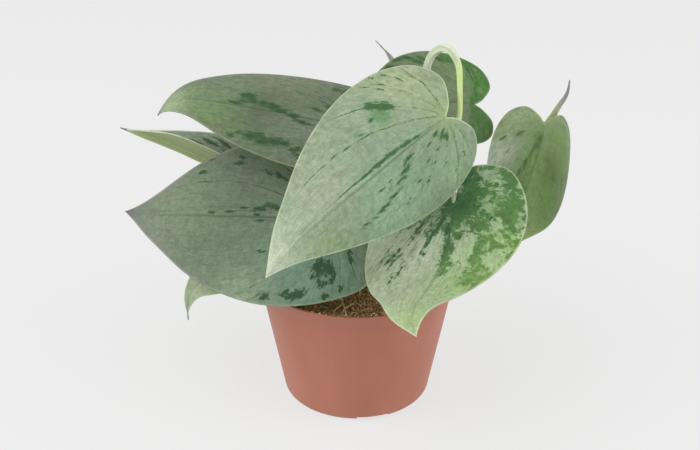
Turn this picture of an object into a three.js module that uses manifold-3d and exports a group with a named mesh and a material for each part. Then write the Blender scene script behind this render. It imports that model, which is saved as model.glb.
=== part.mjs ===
// Satin pothos (Scindapsus pictus) in its nursery pot.
// Millimetres, +Z up. The origin is the centre of the pot's foot, on the surface it stands on.
// Four rooted cuttings stand in the potting mix. Each leaf is one piece, blade and petiole,
// and its petiole clasps one of the cuttings' stems.
import * as THREE from 'three';
import * as BufferGeometryUtils from 'three/addons/utils/BufferGeometryUtils.js';
import Module from 'manifold-3d';

const wasm = await Module();
wasm.setup();

// Driving dimensions
const rimRadius = 60;          // a 12 cm pot is measured across its rim
const potHeight = 80;
const footRadius = 42;
const wall = 1.6;
const flareHeight = 11;        // the rim flares over this height
const flareOut = 4.4;
const footCorner = 4.6;        // radius of the round between wall and foot ring
const floorLift = 3;           // the floor stands clear of the surface between ring and pad
const soilTop = 76;
const soilMound = 3;
const clearance = 0.3;         // gap kept between pieces that touch
const stemRadius = 2.6;
const bladeThickness = 1.0;
const marginThickness = 0.6;
const notchWidth = 19;         // of the four notches in the foot ring
const notchHeight = 2.7;
const notchTurn = -77;         // degrees from +X to the first notch
const drainRadius = 4;
const roundSteps = 48;
const rowsAlong = 15;          // steps of a blade from its sinus to its tip
const columnsAcross = 4;       // steps from the midrib to one margin
const petioleStep = 7;         // length of one step along a petiole

const colours = {
  pot: '#b0715f', soil: '#3e2c20', stem: '#8d9a5e', silver: '#9fb394', green: '#6f8a63', young: '#93a878',
};

// The shape of one half of a blade: across in half widths, along in lengths from sinus to tip.
const halfBlade = [
  [0, 0], [0.13, -0.10], [0.42, -0.20], [0.78, -0.145], [0.985, 0.05],
  [0.955, 0.29], [0.74, 0.55], [0.42, 0.79], [0.14, 0.94], [0, 1],
];

// Leaves. at: where the petiole meets the blade. heading, pitch, roll: how the blade starts, in degrees.
// arch: how far it bends down over its length; hook: more of that near the tip. sweep: bend in its own plane.
// fold: how far the halves rise from the midrib, and cup: how far they curl after that.
// left, right: half widths seen from above with the tip away. lobes, full, taper adjust the half shape,
// and closed narrows the notch between the lobes.
// petiole: the stalk's path, from the middle of the stem that it grows from. stalk: its radii, evenly
// spaced from the stem to where it runs out under the blade.
const leaves = [
  {
    name: 'leaf_front', colour: 'silver', at: [47, -34, 189], heading: 230, pitch: -10, roll: -51,
    length: 136, left: 45, right: 49, lobes: [0.65, 0.75], full: [0, 0.05], taper: 0.3,
    arch: 31, hook: -1, sweep: 7, tipSweep: 12, fold: -20, cup: -24, twist: -1,
    petiole: [[20, 4, 99], [25, 7, 116], [31, 6, 150], [36, 4.5, 182], [38.9, 3, 205], [44.7, -2.4, 215.4],
      [50.5, -7.5, 216], [54.4, -10.5, 209], [55.3, -14, 198], [55.2, -20, 183.5], [52, -27, 179.5]],
    stalk: [2.6, 2.4, 2.2, 2.1, 2.1, 2.3, 1.6, 1.6],
  },
  {
    name: 'leaf_front_right', colour: 'silver', at: [52.5, -37, 139.5], heading: 265, pitch: -21, roll: 19,
    length: 116, left: 41, right: 52, lobes: [1.05, 1], full: [0, 0.05], taper: 0.4, closed: 0.75,
    arch: -37, hook: 36, sweep: -15, tipSweep: 31, fold: 3, cup: -23, twist: 2,
    petiole: [[17, -1, 86], [30, 2, 108], [43, -6, 130], [51, -20, 143], [52.5, -30, 143]],
    stalk: [2.4, 1.7, 1.7],
  },
  {
    name: 'leaf_left', colour: 'green', at: [-18, -19, 119.5], heading: 174, pitch: 0, roll: -47,
    length: 125, left: 51, right: 45, lobes: [1.3, 1], full: [0.1, 0.1], taper: 0.4,
    arch: 31, hook: -13, sweep: -5, tipSweep: -6, fold: 9, cup: -9, twist: -1,
    petiole: [[-17.6, 6.6, 83], [-7, -2, 91], [-1, -10, 103], [-3, -17, 113.5], [-10, -19.5, 118]],
    stalk: [2.5, 1.8, 1.8],
  },
  {
    name: 'leaf_upper_left', colour: 'green', at: [-1.5, 12, 161], heading: 176, pitch: 12, roll: -16,
    length: 118, left: 38, right: 41, lobes: [1, 1], full: [0.15, 0.1], taper: 0.25,
    arch: 6, hook: 58, sweep: 2, tipSweep: 2, fold: 11, cup: -33, twist: 3,
    petiole: [[-15.6, 11, 103], [-9, 16, 124], [1, 17, 148], [5, 13, 157]],
    stalk: [2.4, 1.7, 1.7],
  },
  {
    name: 'leaf_top', colour: 'green', at: [67.5, 36, 165], heading: 201, pitch: 16, roll: -35,
    length: 80, left: 26, right: 36, lobes: [0.6, 0.85], full: [-0.05, 0.2], taper: 0.55,
    arch: 16, hook: 0, sweep: 3, tipSweep: 0, fold: 2, cup: -15, twist: -3,
    petiole: [[54, 27.4, 99.7], [57, 40, 118], [64, 47, 141], [69, 43, 157]],
    stalk: [2.2, 1.5, 1.5],
  },
  {
    name: 'leaf_right', colour: 'young', at: [105, 10, 164.5], heading: 257, pitch: -24, roll: -23,
    length: 94, left: 33, right: 31, lobes: [0.9, 0.7], full: [0.2, 0], taper: 0.7,
    arch: 16, hook: 13, sweep: -13, tipSweep: -14, fold: -20, cup: -41, twist: 6,
    petiole: [[80, 28, 116], [90, 36, 136], [99, 34, 152], [105, 25, 158.5], [106.3, 17, 158.5]],
    stalk: [2.2, 1.6, 1.6],
  },
  {
    name: 'leaf_folded', colour: 'green', at: [-57.5, 39, 109.5], heading: 165, pitch: 22, roll: 9,
    length: 92, left: 27, right: 29, lobes: [0.6, 0.6], full: [0.4, -0.1], taper: 0.55,
    arch: 9, hook: -2, sweep: -5, tipSweep: -7, fold: 44, cup: -12, twist: 6,
    petiole: [[-5.3, 38.6, 84.5], [-20, 40, 91], [-38, 41.5, 98.5], [-50, 40.5, 105]],
    stalk: [2.1, 1.4, 1.4],
  },
  {
    name: 'leaf_drooping', colour: 'young', at: [-31, -5, 115.5], heading: 197, pitch: -20, roll: -28,
    length: 95, left: 30, right: 25, lobes: [1, 1], full: [0.1, 0.1], taper: 0.85,
    arch: 30, hook: 13, sweep: 8, tipSweep: 57, fold: 8, cup: -18, twist: 0,
    petiole: [[-16.8, 8.6, 92], [-19, 3, 103], [-23, -1, 111]],
    stalk: [2.1, 1.4, 1.4],
  },
  {
    name: 'leaf_upright', colour: 'young', at: [36.5, 52, 99], heading: 125, pitch: 69, roll: 0,
    length: 98, left: 20, right: 20, lobes: [0.6, 0.6], full: [0, 0], taper: 1,
    arch: -9, hook: 24, sweep: 2, tipSweep: 30, fold: 28, cup: -8, twist: 0,
    petiole: [[35, 26.6, 84.5], [37.5, 36, 87], [38.5, 45, 91]],
    stalk: [2.1, 1.4, 1.4],
  },
  {
    name: 'leaf_back', colour: 'green', at: [-6, 68, 102], heading: 96, pitch: 0, roll: 2,
    length: 98, left: 34, right: 34, lobes: [1, 1], full: [0, 0], taper: 0.4,
    arch: 44, hook: 18, sweep: -4, tipSweep: 0, fold: 8, cup: -16, twist: 0,
    petiole: [[-6.2, 40.4, 93], [-3, 48, 98], [-4, 59, 102.5]],
    stalk: [2.2, 1.6, 1.6],
  },
  {
    name: 'leaf_back_left', colour: 'green', at: [-24, 48, 139], heading: 128, pitch: 4, roll: 4,
    length: 92, left: 32, right: 32, lobes: [1, 1], full: [0, 0], taper: 0.4,
    arch: 30, hook: 16, sweep: 0, tipSweep: 0, fold: 8, cup: -14, twist: 0,
    petiole: [[-7.6, 43.2, 106], [-12, 41, 120], [-18, 42.5, 133]],
    stalk: [2.1, 1.5, 1.5],
  },
  {
    name: 'leaf_low_right', colour: 'silver', at: [68, 37, 89], heading: 28, pitch: 2, roll: 4,
    length: 60, left: 22, right: 22, lobes: [1, 1], full: [0, 0], taper: 0.4,
    arch: 34, hook: 18, sweep: 0, tipSweep: 0, fold: 8, cup: -16, twist: 0,
    petiole: [[44, 27.1, 93.2], [51, 33, 90.5], [60, 35.5, 88.5]],
    stalk: [2, 1.3, 1.3],
  },
];

// Stems, from the cut end in the mix to the growing tip.
const stems = [
  { name: 'stem_front', path: [[14, -4, 44], [15, -3, 70], [17, -1, 86], [20, 4, 101], [21, 6, 106]] },
  { name: 'stem_left', path: [[-18, 3, 44], [-18, 4.6, 70], [-16.8, 8.6, 92], [-15, 12, 108]] },
  { name: 'stem_right', path: [[21, 26, 44], [24, 26, 70], [42, 27, 92], [68, 28, 108], [92, 28, 124]] },
  { name: 'stem_back', path: [[-3, 34, 44], [-4, 36, 70], [-6, 40, 91], [-8, 44, 110]] },
];

// The youngest leaf is still rolled into a pointed spear that grows on from the right stem's tip.
const rolledLeaf = {
  name: 'leaf_rolled',
  path: [[91, 28, 123.4], [101, 32, 141], [109.5, 29, 157], [115, 27.5, 168.3], [117.8, 26.8, 173.5],
    [119.3, 26.3, 178.3], [119.7, 25.5, 184.8]],
  radii: [2.0, 2.3, 2.3, 2.0, 1.4, 0.4],
};

const degrees = THREE.MathUtils.degToRad;
const smoothstep = THREE.MathUtils.smoothstep;
const vector = (point) => new THREE.Vector3(...point);

// Manifold in and out

function toManifold(geometry) {
  const bare = geometry.clone();
  bare.deleteAttribute('normal');
  bare.deleteAttribute('uv');
  const merged = BufferGeometryUtils.mergeVertices(bare, 1e-4);
  return new wasm.Manifold(new wasm.Mesh({
    numProp: 3,
    vertProperties: new Float32Array(merged.attributes.position.array),
    triVerts: new Uint32Array(merged.index.array),
  }));
}

function toGeometry(solid) {
  const mesh = solid.getMesh();
  const geometry = new THREE.BufferGeometry();
  geometry.setAttribute('position', new THREE.BufferAttribute(mesh.vertProperties, 3));
  geometry.setIndex(new THREE.BufferAttribute(mesh.triVerts, 1));
  return geometry;
}

function addPiece(group, name, solid, colour, roughness) {
  const material = new THREE.MeshStandardMaterial({ color: colours[colour], roughness, metalness: 0 });
  const mesh = new THREE.Mesh(toGeometry(solid), material);
  mesh.name = name;
  group.add(mesh);
}

// A round tube along a smooth path, its radius going from one given value to the next.
function taperedTube(path, radii, steps, sides) {
  const curve = new THREE.CatmullRomCurve3(path.map(vector), false, 'catmullrom', 0.5);
  const frames = curve.computeFrenetFrames(steps, false);
  const positions = [];
  const indices = [];
  for (let i = 0; i <= steps; i++) {
    const centre = curve.getPointAt(i / steps);
    const place = (i / steps) * (radii.length - 1);
    const k = Math.min(Math.floor(place), radii.length - 2);
    const radius = THREE.MathUtils.lerp(radii[k], radii[k + 1], place - k);
    for (let j = 0; j < sides; j++) {
      const angle = (j / sides) * 2 * Math.PI;
      const point = centre.clone()
        .addScaledVector(frames.normals[i], radius * Math.cos(angle))
        .addScaledVector(frames.binormals[i], radius * Math.sin(angle));
      positions.push(...point.toArray());
    }
  }
  positions.push(...curve.getPointAt(0).toArray(), ...curve.getPointAt(1).toArray());
  const startCap = (steps + 1) * sides;
  for (let i = 0; i < steps; i++) {
    for (let j = 0; j < sides; j++) {
      const a = i * sides + j;
      const b = i * sides + ((j + 1) % sides);
      indices.push(a, b, b + sides, a, b + sides, a + sides);
    }
  }
  for (let j = 0; j < sides; j++) {
    const next = (j + 1) % sides;
    indices.push(startCap, next, j);
    indices.push(startCap + 1, steps * sides + j, steps * sides + next);
  }
  const geometry = new THREE.BufferGeometry();
  geometry.setAttribute('position', new THREE.Float32BufferAttribute(positions, 3));
  geometry.setIndex(indices);
  return toManifold(geometry);
}

// Blades

function outlineOf(leaf, side) {
  const lobe = leaf.lobes[side];
  const full = leaf.full[side];
  const widen = [1, 1, 1, 1, 1, 1 + 0.35 * full, 1 + full, 1 + full, 1 + 0.5 * full, 1];
  const narrow = [1, 1, 1, 1, 1, 1, 1 - 0.15 * leaf.taper, 1 - 0.55 * leaf.taper, 1 - leaf.taper, 1];
  const lengthen = [1, 1 + (leaf.closed ?? 0), 1, 1, 1, 1, 1, 1, 1, 1];
  return new THREE.SplineCurve(halfBlade.map(([across, along], k) => new THREE.Vector2(
    across * widen[k] * narrow[k],
    along < 0 ? along * lobe * lengthen[k] : along,
  )));
}

// The turn of the blade at u along its midrib, 0 at the sinus and 1 at the tip.
function bendAt(leaf, u) {
  const nearTip = smoothstep(u, 0.72, 1);
  const arch = leaf.arch * Math.max(u, 0) + leaf.hook * nearTip;
  const sweep = leaf.sweep * Math.max(u, 0) + leaf.tipSweep * nearTip;
  return new THREE.Matrix4().makeRotationFromEuler(
    new THREE.Euler(-degrees(arch), degrees(leaf.twist * u), degrees(sweep), 'ZXY'),
  );
}

// Points of the midrib from behind the sinus, where the lobes reach, to the tip.
function midribOf(leaf) {
  const from = -0.3;
  const steps = 130;
  const step = (1 - from) / steps;
  const points = [new THREE.Vector3()];
  for (let i = 0; i < steps; i++) {
    const middle = from + (i + 0.5) * step;
    const forward = new THREE.Vector3(0, 1, 0).applyMatrix4(bendAt(leaf, middle));
    points.push(points[i].clone().addScaledVector(forward, step * leaf.length));
  }
  const sampled = (u) => {
    const place = (u - from) / step;
    const k = Math.min(Math.floor(place), steps - 1);
    return points[k].clone().lerp(points[k + 1], place - k);
  };
  const origin = sampled(0);
  return (u) => sampled(u).sub(origin);
}

// A function that gives the point of the blade's middle surface for s, 0 at the sinus and 1 at the tip,
// and t, -1 at the left margin, 0 on the midrib and 1 at the right margin.
function bladeSurface(leaf) {
  const outlines = [outlineOf(leaf, 0), outlineOf(leaf, 1)];
  const midrib = midribOf(leaf);
  const start = new THREE.Matrix4().makeRotationFromEuler(
    new THREE.Euler(degrees(leaf.pitch), degrees(leaf.roll), degrees(leaf.heading - 90), 'ZXY'),
  );
  const fold = degrees(leaf.fold);
  const cup = degrees(leaf.cup);
  return (s, t) => {
    const side = t > 0 ? 1 : 0;
    const edge = outlines[side].getPoint(s);
    const reach = Math.abs(t);
    const across = reach * edge.x;
    const u = (1 - reach) * s ** 1.7 + reach * edge.y;
    const width = side === 1 ? leaf.right : leaf.left;
    const angle = fold + cup * across;
    const out = (width / cup) * (Math.sin(angle) - Math.sin(fold));
    const up = (-width / cup) * (Math.cos(angle) - Math.cos(fold));
    return new THREE.Vector3(Math.sign(t) * out, 0, up)
      .applyMatrix4(bendAt(leaf, u))
      .add(midrib(u))
      .applyMatrix4(start)
      .add(vector(leaf.at));
  };
}

function normalAt(surface, s, t) {
  const nudge = 0.004;
  const sIn = THREE.MathUtils.clamp(s, 0.03, 0.97);
  const along = surface(sIn + nudge, t).sub(surface(sIn - nudge, t));
  const across = surface(sIn, Math.min(t + nudge, 1)).sub(surface(sIn, Math.max(t - nudge, -1)));
  return across.cross(along).normalize();
}

// A closed blade: the same triangles above and below, and a thin wall round the margin.
function bladeSolid(leaf) {
  const surface = bladeSurface(leaf);
  const columns = 2 * columnsAcross + 1;
  const positions = [];
  const indices = [];
  const place = (s, t, above) => {
    const half = THREE.MathUtils.lerp(bladeThickness, marginThickness, t * t) / 2;
    const point = surface(s, t).addScaledVector(normalAt(surface, s, t), above ? half : -half);
    positions.push(...point.toArray());
  };
  for (const above of [true, false]) {
    place(0, 0, above);
    for (let i = 1; i < rowsAlong; i++) {
      for (let j = 0; j < columns; j++) place(i / rowsAlong, j / columnsAcross - 1, above);
    }
    place(1, 0, above);
  }
  const layer = (rowsAlong - 1) * columns + 2;
  const at = (i, j) => {
    if (i === 0) return 0;
    return i === rowsAlong ? layer - 1 : 1 + (i - 1) * columns + j;
  };
  const face = (a, b, c) => {
    if (a === b || b === c || c === a) return;
    indices.push(a, b, c);
    indices.push(a + layer, c + layer, b + layer);
  };
  for (let i = 0; i < rowsAlong; i++) {
    for (let j = 0; j < columns - 1; j++) {
      const [a, b, c, d] = [at(i, j), at(i, j + 1), at(i + 1, j + 1), at(i + 1, j)];
      if (j < columnsAcross) {
        face(a, b, c);
        face(a, c, d);
      } else {
        face(a, b, d);
        face(b, c, d);
      }
    }
    const left = [at(i, 0), at(i + 1, 0)];
    const right = [at(i, columns - 1), at(i + 1, columns - 1)];
    indices.push(left[0], left[1], left[1] + layer, left[0], left[1] + layer, left[0] + layer);
    indices.push(right[1], right[0], right[0] + layer, right[1], right[0] + layer, right[1] + layer);
  }
  const geometry = new THREE.BufferGeometry();
  geometry.setAttribute('position', new THREE.Float32BufferAttribute(positions, 3));
  geometry.setIndex(indices);
  return toManifold(geometry);
}

// The petiole runs on under the blade for a short way, as the raised midrib does.
function petioleSolid(leaf) {
  const surface = bladeSurface(leaf);
  const end = leaf.stalk.at(-1);
  const under = [0.12, 0.32].map((s) => surface(s, 0).addScaledVector(normalAt(surface, s, 0), -0.8 * end));
  const path = [...leaf.petiole, ...under.map((point) => point.toArray())];
  const length = new THREE.CatmullRomCurve3(path.map(vector), false, 'catmullrom', 0.5).getLength();
  return taperedTube(path, [...leaf.stalk, 0.6 * end], Math.ceil(length / petioleStep), 8);
}

// A stem, or the room that it needs: the stem grown by a little all round and at both ends.
function stemSolid(stem, extra) {
  const radius = stemRadius + extra;
  const path = stem.path.map(vector);
  const last = path.length - 1;
  path[0].add(path[0].clone().sub(path[1]).setLength(extra));
  path[last].add(path[last].clone().sub(path[last - 1]).setLength(extra));
  const radii = [radius, radius, 0.85 * stemRadius + extra];
  return taperedTube(path.map((point) => point.toArray()), radii, 12, 10);
}

// What is left of a petiole outside the stems, without the scraps on their far side.
function clasping(petiole, room) {
  const pieces = petiole.subtract(room).decompose();
  return pieces.reduce((best, piece) => (piece.volume() > best.volume() ? piece : best));
}

// Pot and potting mix

function lathe(profile, segments) {
  const points = profile.map(([radius, height]) => new THREE.Vector2(radius, height));
  const geometry = new THREE.LatheGeometry(points, segments);
  geometry.rotateX(Math.PI / 2);
  return toManifold(geometry);
}

const shoulder = potHeight - flareHeight;
const shoulderRadius = rimRadius - flareOut;
const wallSlope = (shoulderRadius - footRadius) / shoulder;
const outerRadius = (height) => footRadius + wallSlope * height;
const innerRadius = (height) => outerRadius(height) - wall;

function potSolid() {
  const inside = floorLift + wall;
  const corner = [0, 1, 2, 3].map((k) => [
    outerRadius(footCorner) - footCorner * (1 - Math.sin(degrees(30 * k))),
    footCorner * (1 - Math.cos(degrees(30 * k))),
  ]);
  const profile = [
    [0, 0], [8, 0], [10, floorLift], [33, floorLift], [35.5, 0], ...corner, [shoulderRadius, shoulder],
    [shoulderRadius + 1.2, shoulder + 3.5], [rimRadius - 1, potHeight - 3], [rimRadius, potHeight - 0.4],
    [rimRadius - 0.4, potHeight], [rimRadius - wall, potHeight - 0.2],
    [rimRadius - wall - 1.1, potHeight - 3], [shoulderRadius - wall + 1.1, shoulder + 3.5],
    [innerRadius(shoulder), shoulder + 0.3], [innerRadius(inside + 1), inside + 1],
    [innerRadius(inside) - 1, inside], [0, inside],
  ];
  let pot = lathe(profile, roundSteps);
  for (let k = 0; k < 4; k++) {
    const notch = new THREE.BoxGeometry(16, notchWidth, 2 * notchHeight);
    notch.translate(footRadius - 2, 0, 0);
    notch.rotateZ(degrees(90 * k + notchTurn));
    pot = pot.subtract(toManifold(notch));
  }
  for (let k = 0; k < 6; k++) {
    const drain = new THREE.CylinderGeometry(drainRadius, drainRadius, 12, 14);
    drain.rotateX(Math.PI / 2);
    drain.translate(24, 0, floorLift);
    drain.rotateZ(degrees(60 * k + 30));
    pot = pot.subtract(toManifold(drain));
  }
  return pot;
}

function soilSolid(rooms) {
  const bottom = floorLift + wall + clearance;
  const rings = 4;
  const edge = innerRadius(soilTop) - clearance;
  const profile = [
    [0, bottom], [innerRadius(bottom) - 2, bottom], [innerRadius(bottom + 2) - clearance, bottom + 2],
    [innerRadius(shoulder) - clearance, shoulder],
  ];
  for (let k = 0; k <= rings; k++) {
    const share = k / rings;
    profile.push([edge * (1 - share), soilTop + soilMound * Math.sin(share * Math.PI / 2)]);
  }
  return rooms.reduce((soil, room) => soil.subtract(room), lathe(profile, roundSteps));
}

const plant = new THREE.Group();
plant.name = 'satin_pothos';

const rooms = stems.map((stem) => stemSolid(stem, clearance));
const allRoom = rooms.reduce((sum, room) => sum.add(room));

addPiece(plant, 'pot', potSolid(), 'pot', 0.6);
addPiece(plant, 'soil', soilSolid(rooms), 'soil', 0.95);
for (const stem of stems) addPiece(plant, stem.name, stemSolid(stem, 0), 'stem', 0.5);
for (const leaf of leaves) {
  const solid = bladeSolid(leaf).add(clasping(petioleSolid(leaf), allRoom));
  addPiece(plant, leaf.name, solid, leaf.colour, 0.5);
}
const spear = taperedTube(rolledLeaf.path, rolledLeaf.radii, 12, 8);
addPiece(plant, rolledLeaf.name, clasping(spear, allRoom), 'young', 0.5);

export default plant;
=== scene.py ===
import math
import random

import bmesh
import bpy
import numpy as np
from mathutils import Matrix, Vector, noise


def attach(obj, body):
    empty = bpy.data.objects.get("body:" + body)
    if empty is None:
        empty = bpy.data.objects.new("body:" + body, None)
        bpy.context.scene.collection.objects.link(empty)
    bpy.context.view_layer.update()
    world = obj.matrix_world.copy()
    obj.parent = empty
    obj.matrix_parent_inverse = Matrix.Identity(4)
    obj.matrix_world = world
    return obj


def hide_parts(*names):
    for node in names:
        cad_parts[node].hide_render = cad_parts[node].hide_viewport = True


# Satin pothos (Scindapsus pictus) in a nursery pot: blades, petioles, stems, potting mix and pot.
# Sizes are in millimetres, turned to metres where a mesh is made.
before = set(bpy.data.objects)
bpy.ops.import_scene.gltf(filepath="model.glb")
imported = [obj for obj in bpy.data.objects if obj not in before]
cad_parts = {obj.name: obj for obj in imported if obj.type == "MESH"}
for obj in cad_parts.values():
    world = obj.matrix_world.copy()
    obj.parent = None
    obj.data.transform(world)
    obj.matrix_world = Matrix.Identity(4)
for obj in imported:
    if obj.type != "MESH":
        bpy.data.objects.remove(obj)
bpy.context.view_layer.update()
mm = 0.001


def linear(hexColour):
    channels = [int(hexColour[k:k + 2], 16) / 255 for k in (1, 3, 5)]
    return [c / 12.92 if c <= 0.04045 else ((c + 0.055) / 1.055) ** 2.4 for c in channels] + [1]


# a node's inputs, by name or in order: a value or hex colour is set, and a socket or node is linked
def fill(tree, node, inputs):
    for key, value in inputs.items() if isinstance(inputs, dict) else enumerate(inputs):
        if isinstance(value, str):
            value = linear(value)
        if isinstance(value, bpy.types.Node):
            value = value.outputs[0]
        if isinstance(value, bpy.types.NodeSocket):
            tree.links.new(value, node.inputs[key])
        else:
            node.inputs[key].default_value = value


# a node with its settings and inputs; a kind without Node in its name is a shader node
def addNode(tree, kind, inputs=(), **settings):
    node = tree.nodes.new(kind if "Node" in kind else "ShaderNode" + kind)
    for name, value in settings.items():
        setattr(node, name, value)
    fill(tree, node, inputs)
    return node


def newMaterial(name):
    material = bpy.data.materials.new(name)
    material.use_nodes = True
    return material, material.node_tree


# lays colours over a base, each through its own mask
def overlaid(tree, base, layers):
    for mask, colour in layers:
        mixed = addNode(tree, "Mix", {0: mask, 6: base, 7: colour}, data_type="RGBA")
        base = mixed.outputs[2]
    return base


# fills the shader's inputs and gives it a relief: the pattern, its strength and its depth in mm
def finish(material, inputs, pattern, strength, depth):
    tree = material.node_tree
    relief = addNode(tree, "Bump", {"Height": pattern, "Strength": strength, "Distance": depth * mm})
    fill(tree, tree.nodes["Principled BSDF"], {**inputs, "Normal": relief})
    return material


def addObject(name, data):
    thing = bpy.data.objects.new(name, data)
    bpy.context.scene.collection.objects.link(thing)
    return thing


# a smooth mesh from points in mm, with its material and what each of its points carries
def newMesh(name, points, faces, material, attributes=None):
    mesh = bpy.data.meshes.new(name)
    mesh.from_pydata((np.asarray(points) * mm).tolist(), [], faces)
    for key, values in (attributes or {}).items():
        values = np.asarray(values, float)
        kind, field = ("FLOAT", "value") if values.ndim == 1 else ("FLOAT_VECTOR", "vector")
        mesh.attributes.new(key, kind, "POINT").data.foreach_set(field, values.ravel())
    mesh.materials.append(material)
    mesh.polygons.foreach_set("use_smooth", [True] * len(mesh.polygons))
    mesh.update()
    return mesh


# the mesh that a holder's modifier makes, as plain geometry; the holder is removed
def settled(holder, name):
    graph = bpy.context.evaluated_depsgraph_get()
    mesh = bpy.data.meshes.new_from_object(holder.evaluated_get(graph))
    mesh.name = name
    bpy.data.objects.remove(holder)
    return mesh


def placePiece(name, mesh, node):
    piece = addObject(name, mesh)
    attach(piece, "root")
    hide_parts(node)


# Light, camera and floor

# the lights' places and widths and the board's half width are in metres
studio = {
    "target": (-4.0, 0.0, 106.0), "distance": 1000.0, "elevation": 28.0, "lens": 90.0, "sensor": 36,
    "surround": 0.58, "boardGlow": 0.685, "boardTone": 0.16, "boardHalf": 12.0,
    "lights": {
        "leftSoftbox": {"place": (-1.15, -0.35, 0.75), "width": 1.0, "power": 8.0},
        "rightSoftbox": {"place": (1.15, -0.35, 0.75), "width": 1.0, "power": 7.5},
        "topSoftbox": {"place": (-0.35, -0.45, 1.35), "width": 0.9, "power": 5.0},
    },
}


# White board lit from behind, as product tables are, so that shadows on it stay faint.
def boardMaterial():
    material, tree = newMaterial("litWhiteBoard")
    coordinates = addNode(tree, "TexCoord").outputs["Object"]
    tooth = addNode(tree, "TexNoise", {"Vector": coordinates, "Scale": 900.0, "Detail": 2.0})
    tone = studio["boardTone"]
    return finish(material, {
        "Base Color": (tone, tone, tone, 1), "Roughness": 0.9, "Specular IOR Level": 0.0,
        "Emission Color": "#FFFFFF", "Emission Strength": studio["boardGlow"],
    }, tooth, 0.02, 0.1)


def lightTheScene():
    scene = bpy.context.scene
    scene.view_settings.view_transform = "Standard"
    world = bpy.data.worlds.new("softSurround")
    world.use_nodes = True
    background = world.node_tree.nodes["Background"]
    fill(world.node_tree, background, {"Color": "#FFFFFF", "Strength": studio["surround"]})
    scene.world = world
    target = Vector(studio["target"]) * mm
    for name, values in studio["lights"].items():
        light = bpy.data.lights.new(name, "AREA")
        light.energy = values["power"]
        light.size = values["width"]
        lamp = addObject(name, light)
        lamp.location = values["place"]
        lamp.rotation_euler = (target - lamp.location).to_track_quat("-Z", "Y").to_euler()

    camera = addObject("camera", bpy.data.cameras.new("camera"))
    camera.data.lens = studio["lens"]
    camera.data.sensor_width = studio["sensor"]
    camera.data.clip_start = 0.01
    tilt = math.radians(studio["elevation"])
    back = Vector((0, -math.cos(tilt), math.sin(tilt)))
    camera.location = (Vector(studio["target"]) + back * studio["distance"]) * mm
    camera.rotation_euler = (-back).to_track_quat("-Z", "Y").to_euler()
    scene.camera = camera

    half = studio["boardHalf"]
    board = bpy.data.meshes.new("floor")
    corners = [(-half, -half, 0), (half, -half, 0), (half, half, 0), (-half, half, 0)]
    board.from_pydata(corners, [], [(0, 1, 2, 3)])
    board.materials.append(boardMaterial())
    addObject("floor", board)


lightTheScene()
print("studio ready")

# Blades

# one half of a blade: across in half widths, along in lengths from sinus to tip
halfBlade = [
    (0, 0), (0.13, -0.10), (0.42, -0.20), (0.78, -0.145), (0.985, 0.05),
    (0.955, 0.29), (0.74, 0.55), (0.42, 0.79), (0.14, 0.94), (0, 1),
]

# Looks that a leaf has unless it says otherwise. All places are along the blade and across it.
# washes: soft tints of the silver, each with its reach in mm, its colour and its strength; greens: the
# same over the green ground. zones: green ground, by half length and half width in mm, from -1 for
# silver to 1 for green. marks: small dark patches, half length along the veins and half width in mm.
# feather: how ragged zones are. nibble: the same for marks. island: how much silver stands in the green
# ground. soft: how far a mark fades out. dusk: how grey the margin turns towards the tip. joint: the
# petiole's end at the blade. sheathEnd: how far up the petiole its sheath goes.
usual = {
    "silver": "#8C9F82", "green": "#5E7F50", "deep": "#38603A", "streak": 0.45, "veins": 0.7,
    "feather": 1.0, "nibble": 4.4, "island": 2.4, "soft": 0.0, "dusk": 0.0, "closed": 0.0,
    "washes": [], "greens": [], "zones": [], "marks": [],
    "rim": ("#C2D0A8", 0.45), "tip": ("#77706A", 0.955), "sheathEnd": 0.5, "joint": "#7B9464",
    "stalkColours": ("#A0A583", "#95A06F", "#A3B473"),
}

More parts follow.
